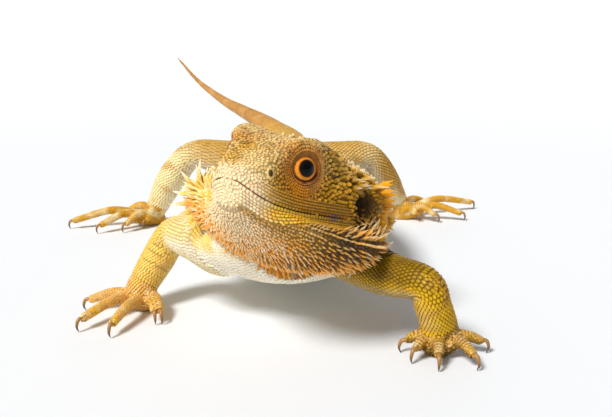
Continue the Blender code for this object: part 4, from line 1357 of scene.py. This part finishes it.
# the crease of the mouth, a dark line between the labials, paler and finer at the snout. Its darkness is
# partly the skin's own and partly painted shade in the crease.
crease = {"radius": 0.19, "finer": 0.2, "raised": 0.16}
rows = []
for place, normal in filter(None, (onSkin(place, 4) for place in fromHead(mouthMiddle))):
    place = place + normal * crease["raised"]
    rows.append((*place, crease["radius"] * (1 - crease["finer"] * ramp(toHead([place])[0][1], -32, -42))))
line = wrapped(domed(ringsOf(rows, 8, 1), crease["radius"], crease["radius"]), "mouth_line")
paint(line, [layered("mouth", ("lip", ramp(place[1], -35, -44))) for place in toHead(pointsOf(line))])
selectOnly(line)
bpy.ops.object.shade_smooth()
finishPiece(line, "mouth_line", "head_scales", skinLook)

for side, name in ((-1, "nostril_right"), (1, "nostril_left")):
    place, normal = (Vector(part) for part in onSkin(fromHead([mirrored(head["nostril"], side)])[0], 4))
    bpy.ops.mesh.primitive_torus_add(major_radius=0.92, minor_radius=0.4, major_segments=28,
                                     minor_segments=12)
    ring = bpy.context.object
    # the inner side of the ring is painted dark towards the opening: painted shade in the nostril
    inner = np.clip((1.0 - lengths(pointsOf(ring)[:, :2])) / 0.35, 0, 1)[:, None]
    paint(ring, blendOf(headColour(place), linear("#3A2410"), inner))
    turn = normal.to_track_quat("Z", "Y").to_matrix().to_4x4()
    ring.data.transform(Matrix.Translation(place + normal * 0.2) @ turn @ Matrix.Diagonal((1, 1.25, 0.8, 1)))
    bpy.ops.object.shade_smooth()
    finishPiece(ring, name, "head_scales", skinLook)

print("claws")


def hornLook():
    # claw horn: smooth keratin, brown at its root and nearly black at its point
    material, tree, shader, where = startMaterial("clawHorn")
    tint = addNode(tree, "Attribute", {"attribute_name": "tint"})
    streak = addNode(tree, "TexNoise", {"Scale": 900.0, "Detail": 2.0}, {"Vector": where["Object"]})
    dull = addNode(tree, "MapRange", {"To Min": 0.22, "To Max": 0.42}, {"Value": streak.outputs["Fac"]})
    wire(tree, shader, {"IOR": 1.55},
         {"Base Color": tint.outputs["Color"], "Roughness": dull.outputs["Result"]})
    return material


clawLook = hornLook()
claws = {"rootRadius": 0.78, "tipRadius": 0.1, "bow": 1.9, "drop": 1.1, "root": "#AC7C40", "tip": "#1C110A"}
for name, parts in pawParts.items():
    made = []
    for end, tip, forward in parts["claws"]:
        start = end - forward * 0.5 + upward * 0.35
        point = tip + forward * 0.35 + upward * 0.15
        top = end + forward * claws["bow"] + upward * (0.25 - claws["drop"] * 0.3)
        low = blendOf(np.array(top), np.array(point), 0.55) + np.array(forward) * 0.75
        rows = [(*p, r) for p, r in ((start, claws["rootRadius"]), (top, claws["rootRadius"] * 0.86),
                                     (low, claws["rootRadius"] * 0.55), (point, claws["tipRadius"]))]
        claw = wrapped(domed(ringsOf(rows, 12, 4, forward), 0.3, 0.1))
        share = np.clip(1 - (pointsOf(claw)[:, 2] - 0.5) / 3.8, 0, 1)[:, None]
        paint(claw, blendOf(linear(claws["root"]), linear(claws["tip"]), share))
        made.append(claw)
    pieces = joined(made)
    bpy.ops.object.shade_smooth()
    finishPiece(pieces, "claws_" + name, "claws", clawLook, *[f"claw_{name}_{n}" for n in range(1, 6)])

print("stage")
# sizes in metres, and the light of the sky, the wall and the lamp
stage = {"floor": 80, "wallAway": 38, "wallHigh": 30, "near": "#EDEFF1", "far": "#FFFFFF", "fade": (0.3, 1.5),
         "wallGlow": 0.75, "sky": 0.27, "lamp": 3.38, "lampSpread": 17, "lampTurn": (28, -30)}
lens = {"sensor": 36, "focalPixels": 660, "widthPixels": 612, "tilt": 75, "place": (0, -0.280, 0.101)}


def paperSheet(name, height, location, rotation, glow):
    # seamless background paper: matt and white, painted a little grey close by as painted shade
    bpy.ops.mesh.primitive_plane_add(size=1, location=location, rotation=rotation)
    sheet = bpy.context.object
    sheet.name = name
    sheet.scale = (stage["floor"], height, 1)
    paper, tree, shader, where = startMaterial(name + "Paper")
    away = addNode(tree, "VectorMath", {"operation": "LENGTH"}, {"Vector": where["Object"]})
    near, far = (reach / stage["floor"] for reach in stage["fade"])
    fade = addNode(tree, "MapRange", {"From Min": near, "From Max": far}, {"Value": away.outputs["Value"]})
    wire(tree, shader, {"Roughness": 0.9, "Specular IOR Level": 0.1, "Emission Color": (1, 1, 1, 1),
                        "Emission Strength": glow},
         {"Base Color": colourStops(tree, fade.outputs["Result"], ((0, stage["near"]), (1, stage["far"])))})
    sheet.data.materials.append(paper)


paperSheet("studio_floor", stage["floor"], (0, 0, 0), (0, 0, 0), 0.0)
paperSheet("studio_wall", stage["wallHigh"], (0, stage["wallAway"], 0), (math.radians(90), 0, 0),
           stage["wallGlow"])

world = bpy.data.worlds.new("studio")
bpy.context.scene.world = world
world.use_nodes = True
wire(world.node_tree, world.node_tree.nodes["Background"], {"Color": (1, 1, 1, 1), "Strength": stage["sky"]})
bpy.ops.object.light_add(type="SUN", rotation=[*(math.radians(turn) for turn in stage["lampTurn"]), 0])
key = bpy.context.object
key.name = "key"
key.data.energy = stage["lamp"]
key.data.angle = math.radians(stage["lampSpread"])

bpy.ops.object.camera_add(location=Vector(lens["place"]) + shift, rotation=(math.radians(lens["tilt"]), 0, 0))
camera = bpy.context.object
camera.data.sensor_width = lens["sensor"]
camera.data.lens = lens["sensor"] * lens["focalPixels"] / lens["widthPixels"]
bpy.context.scene.camera = camera
bpy.context.scene.view_settings.view_transform = "Standard"

print("finish")
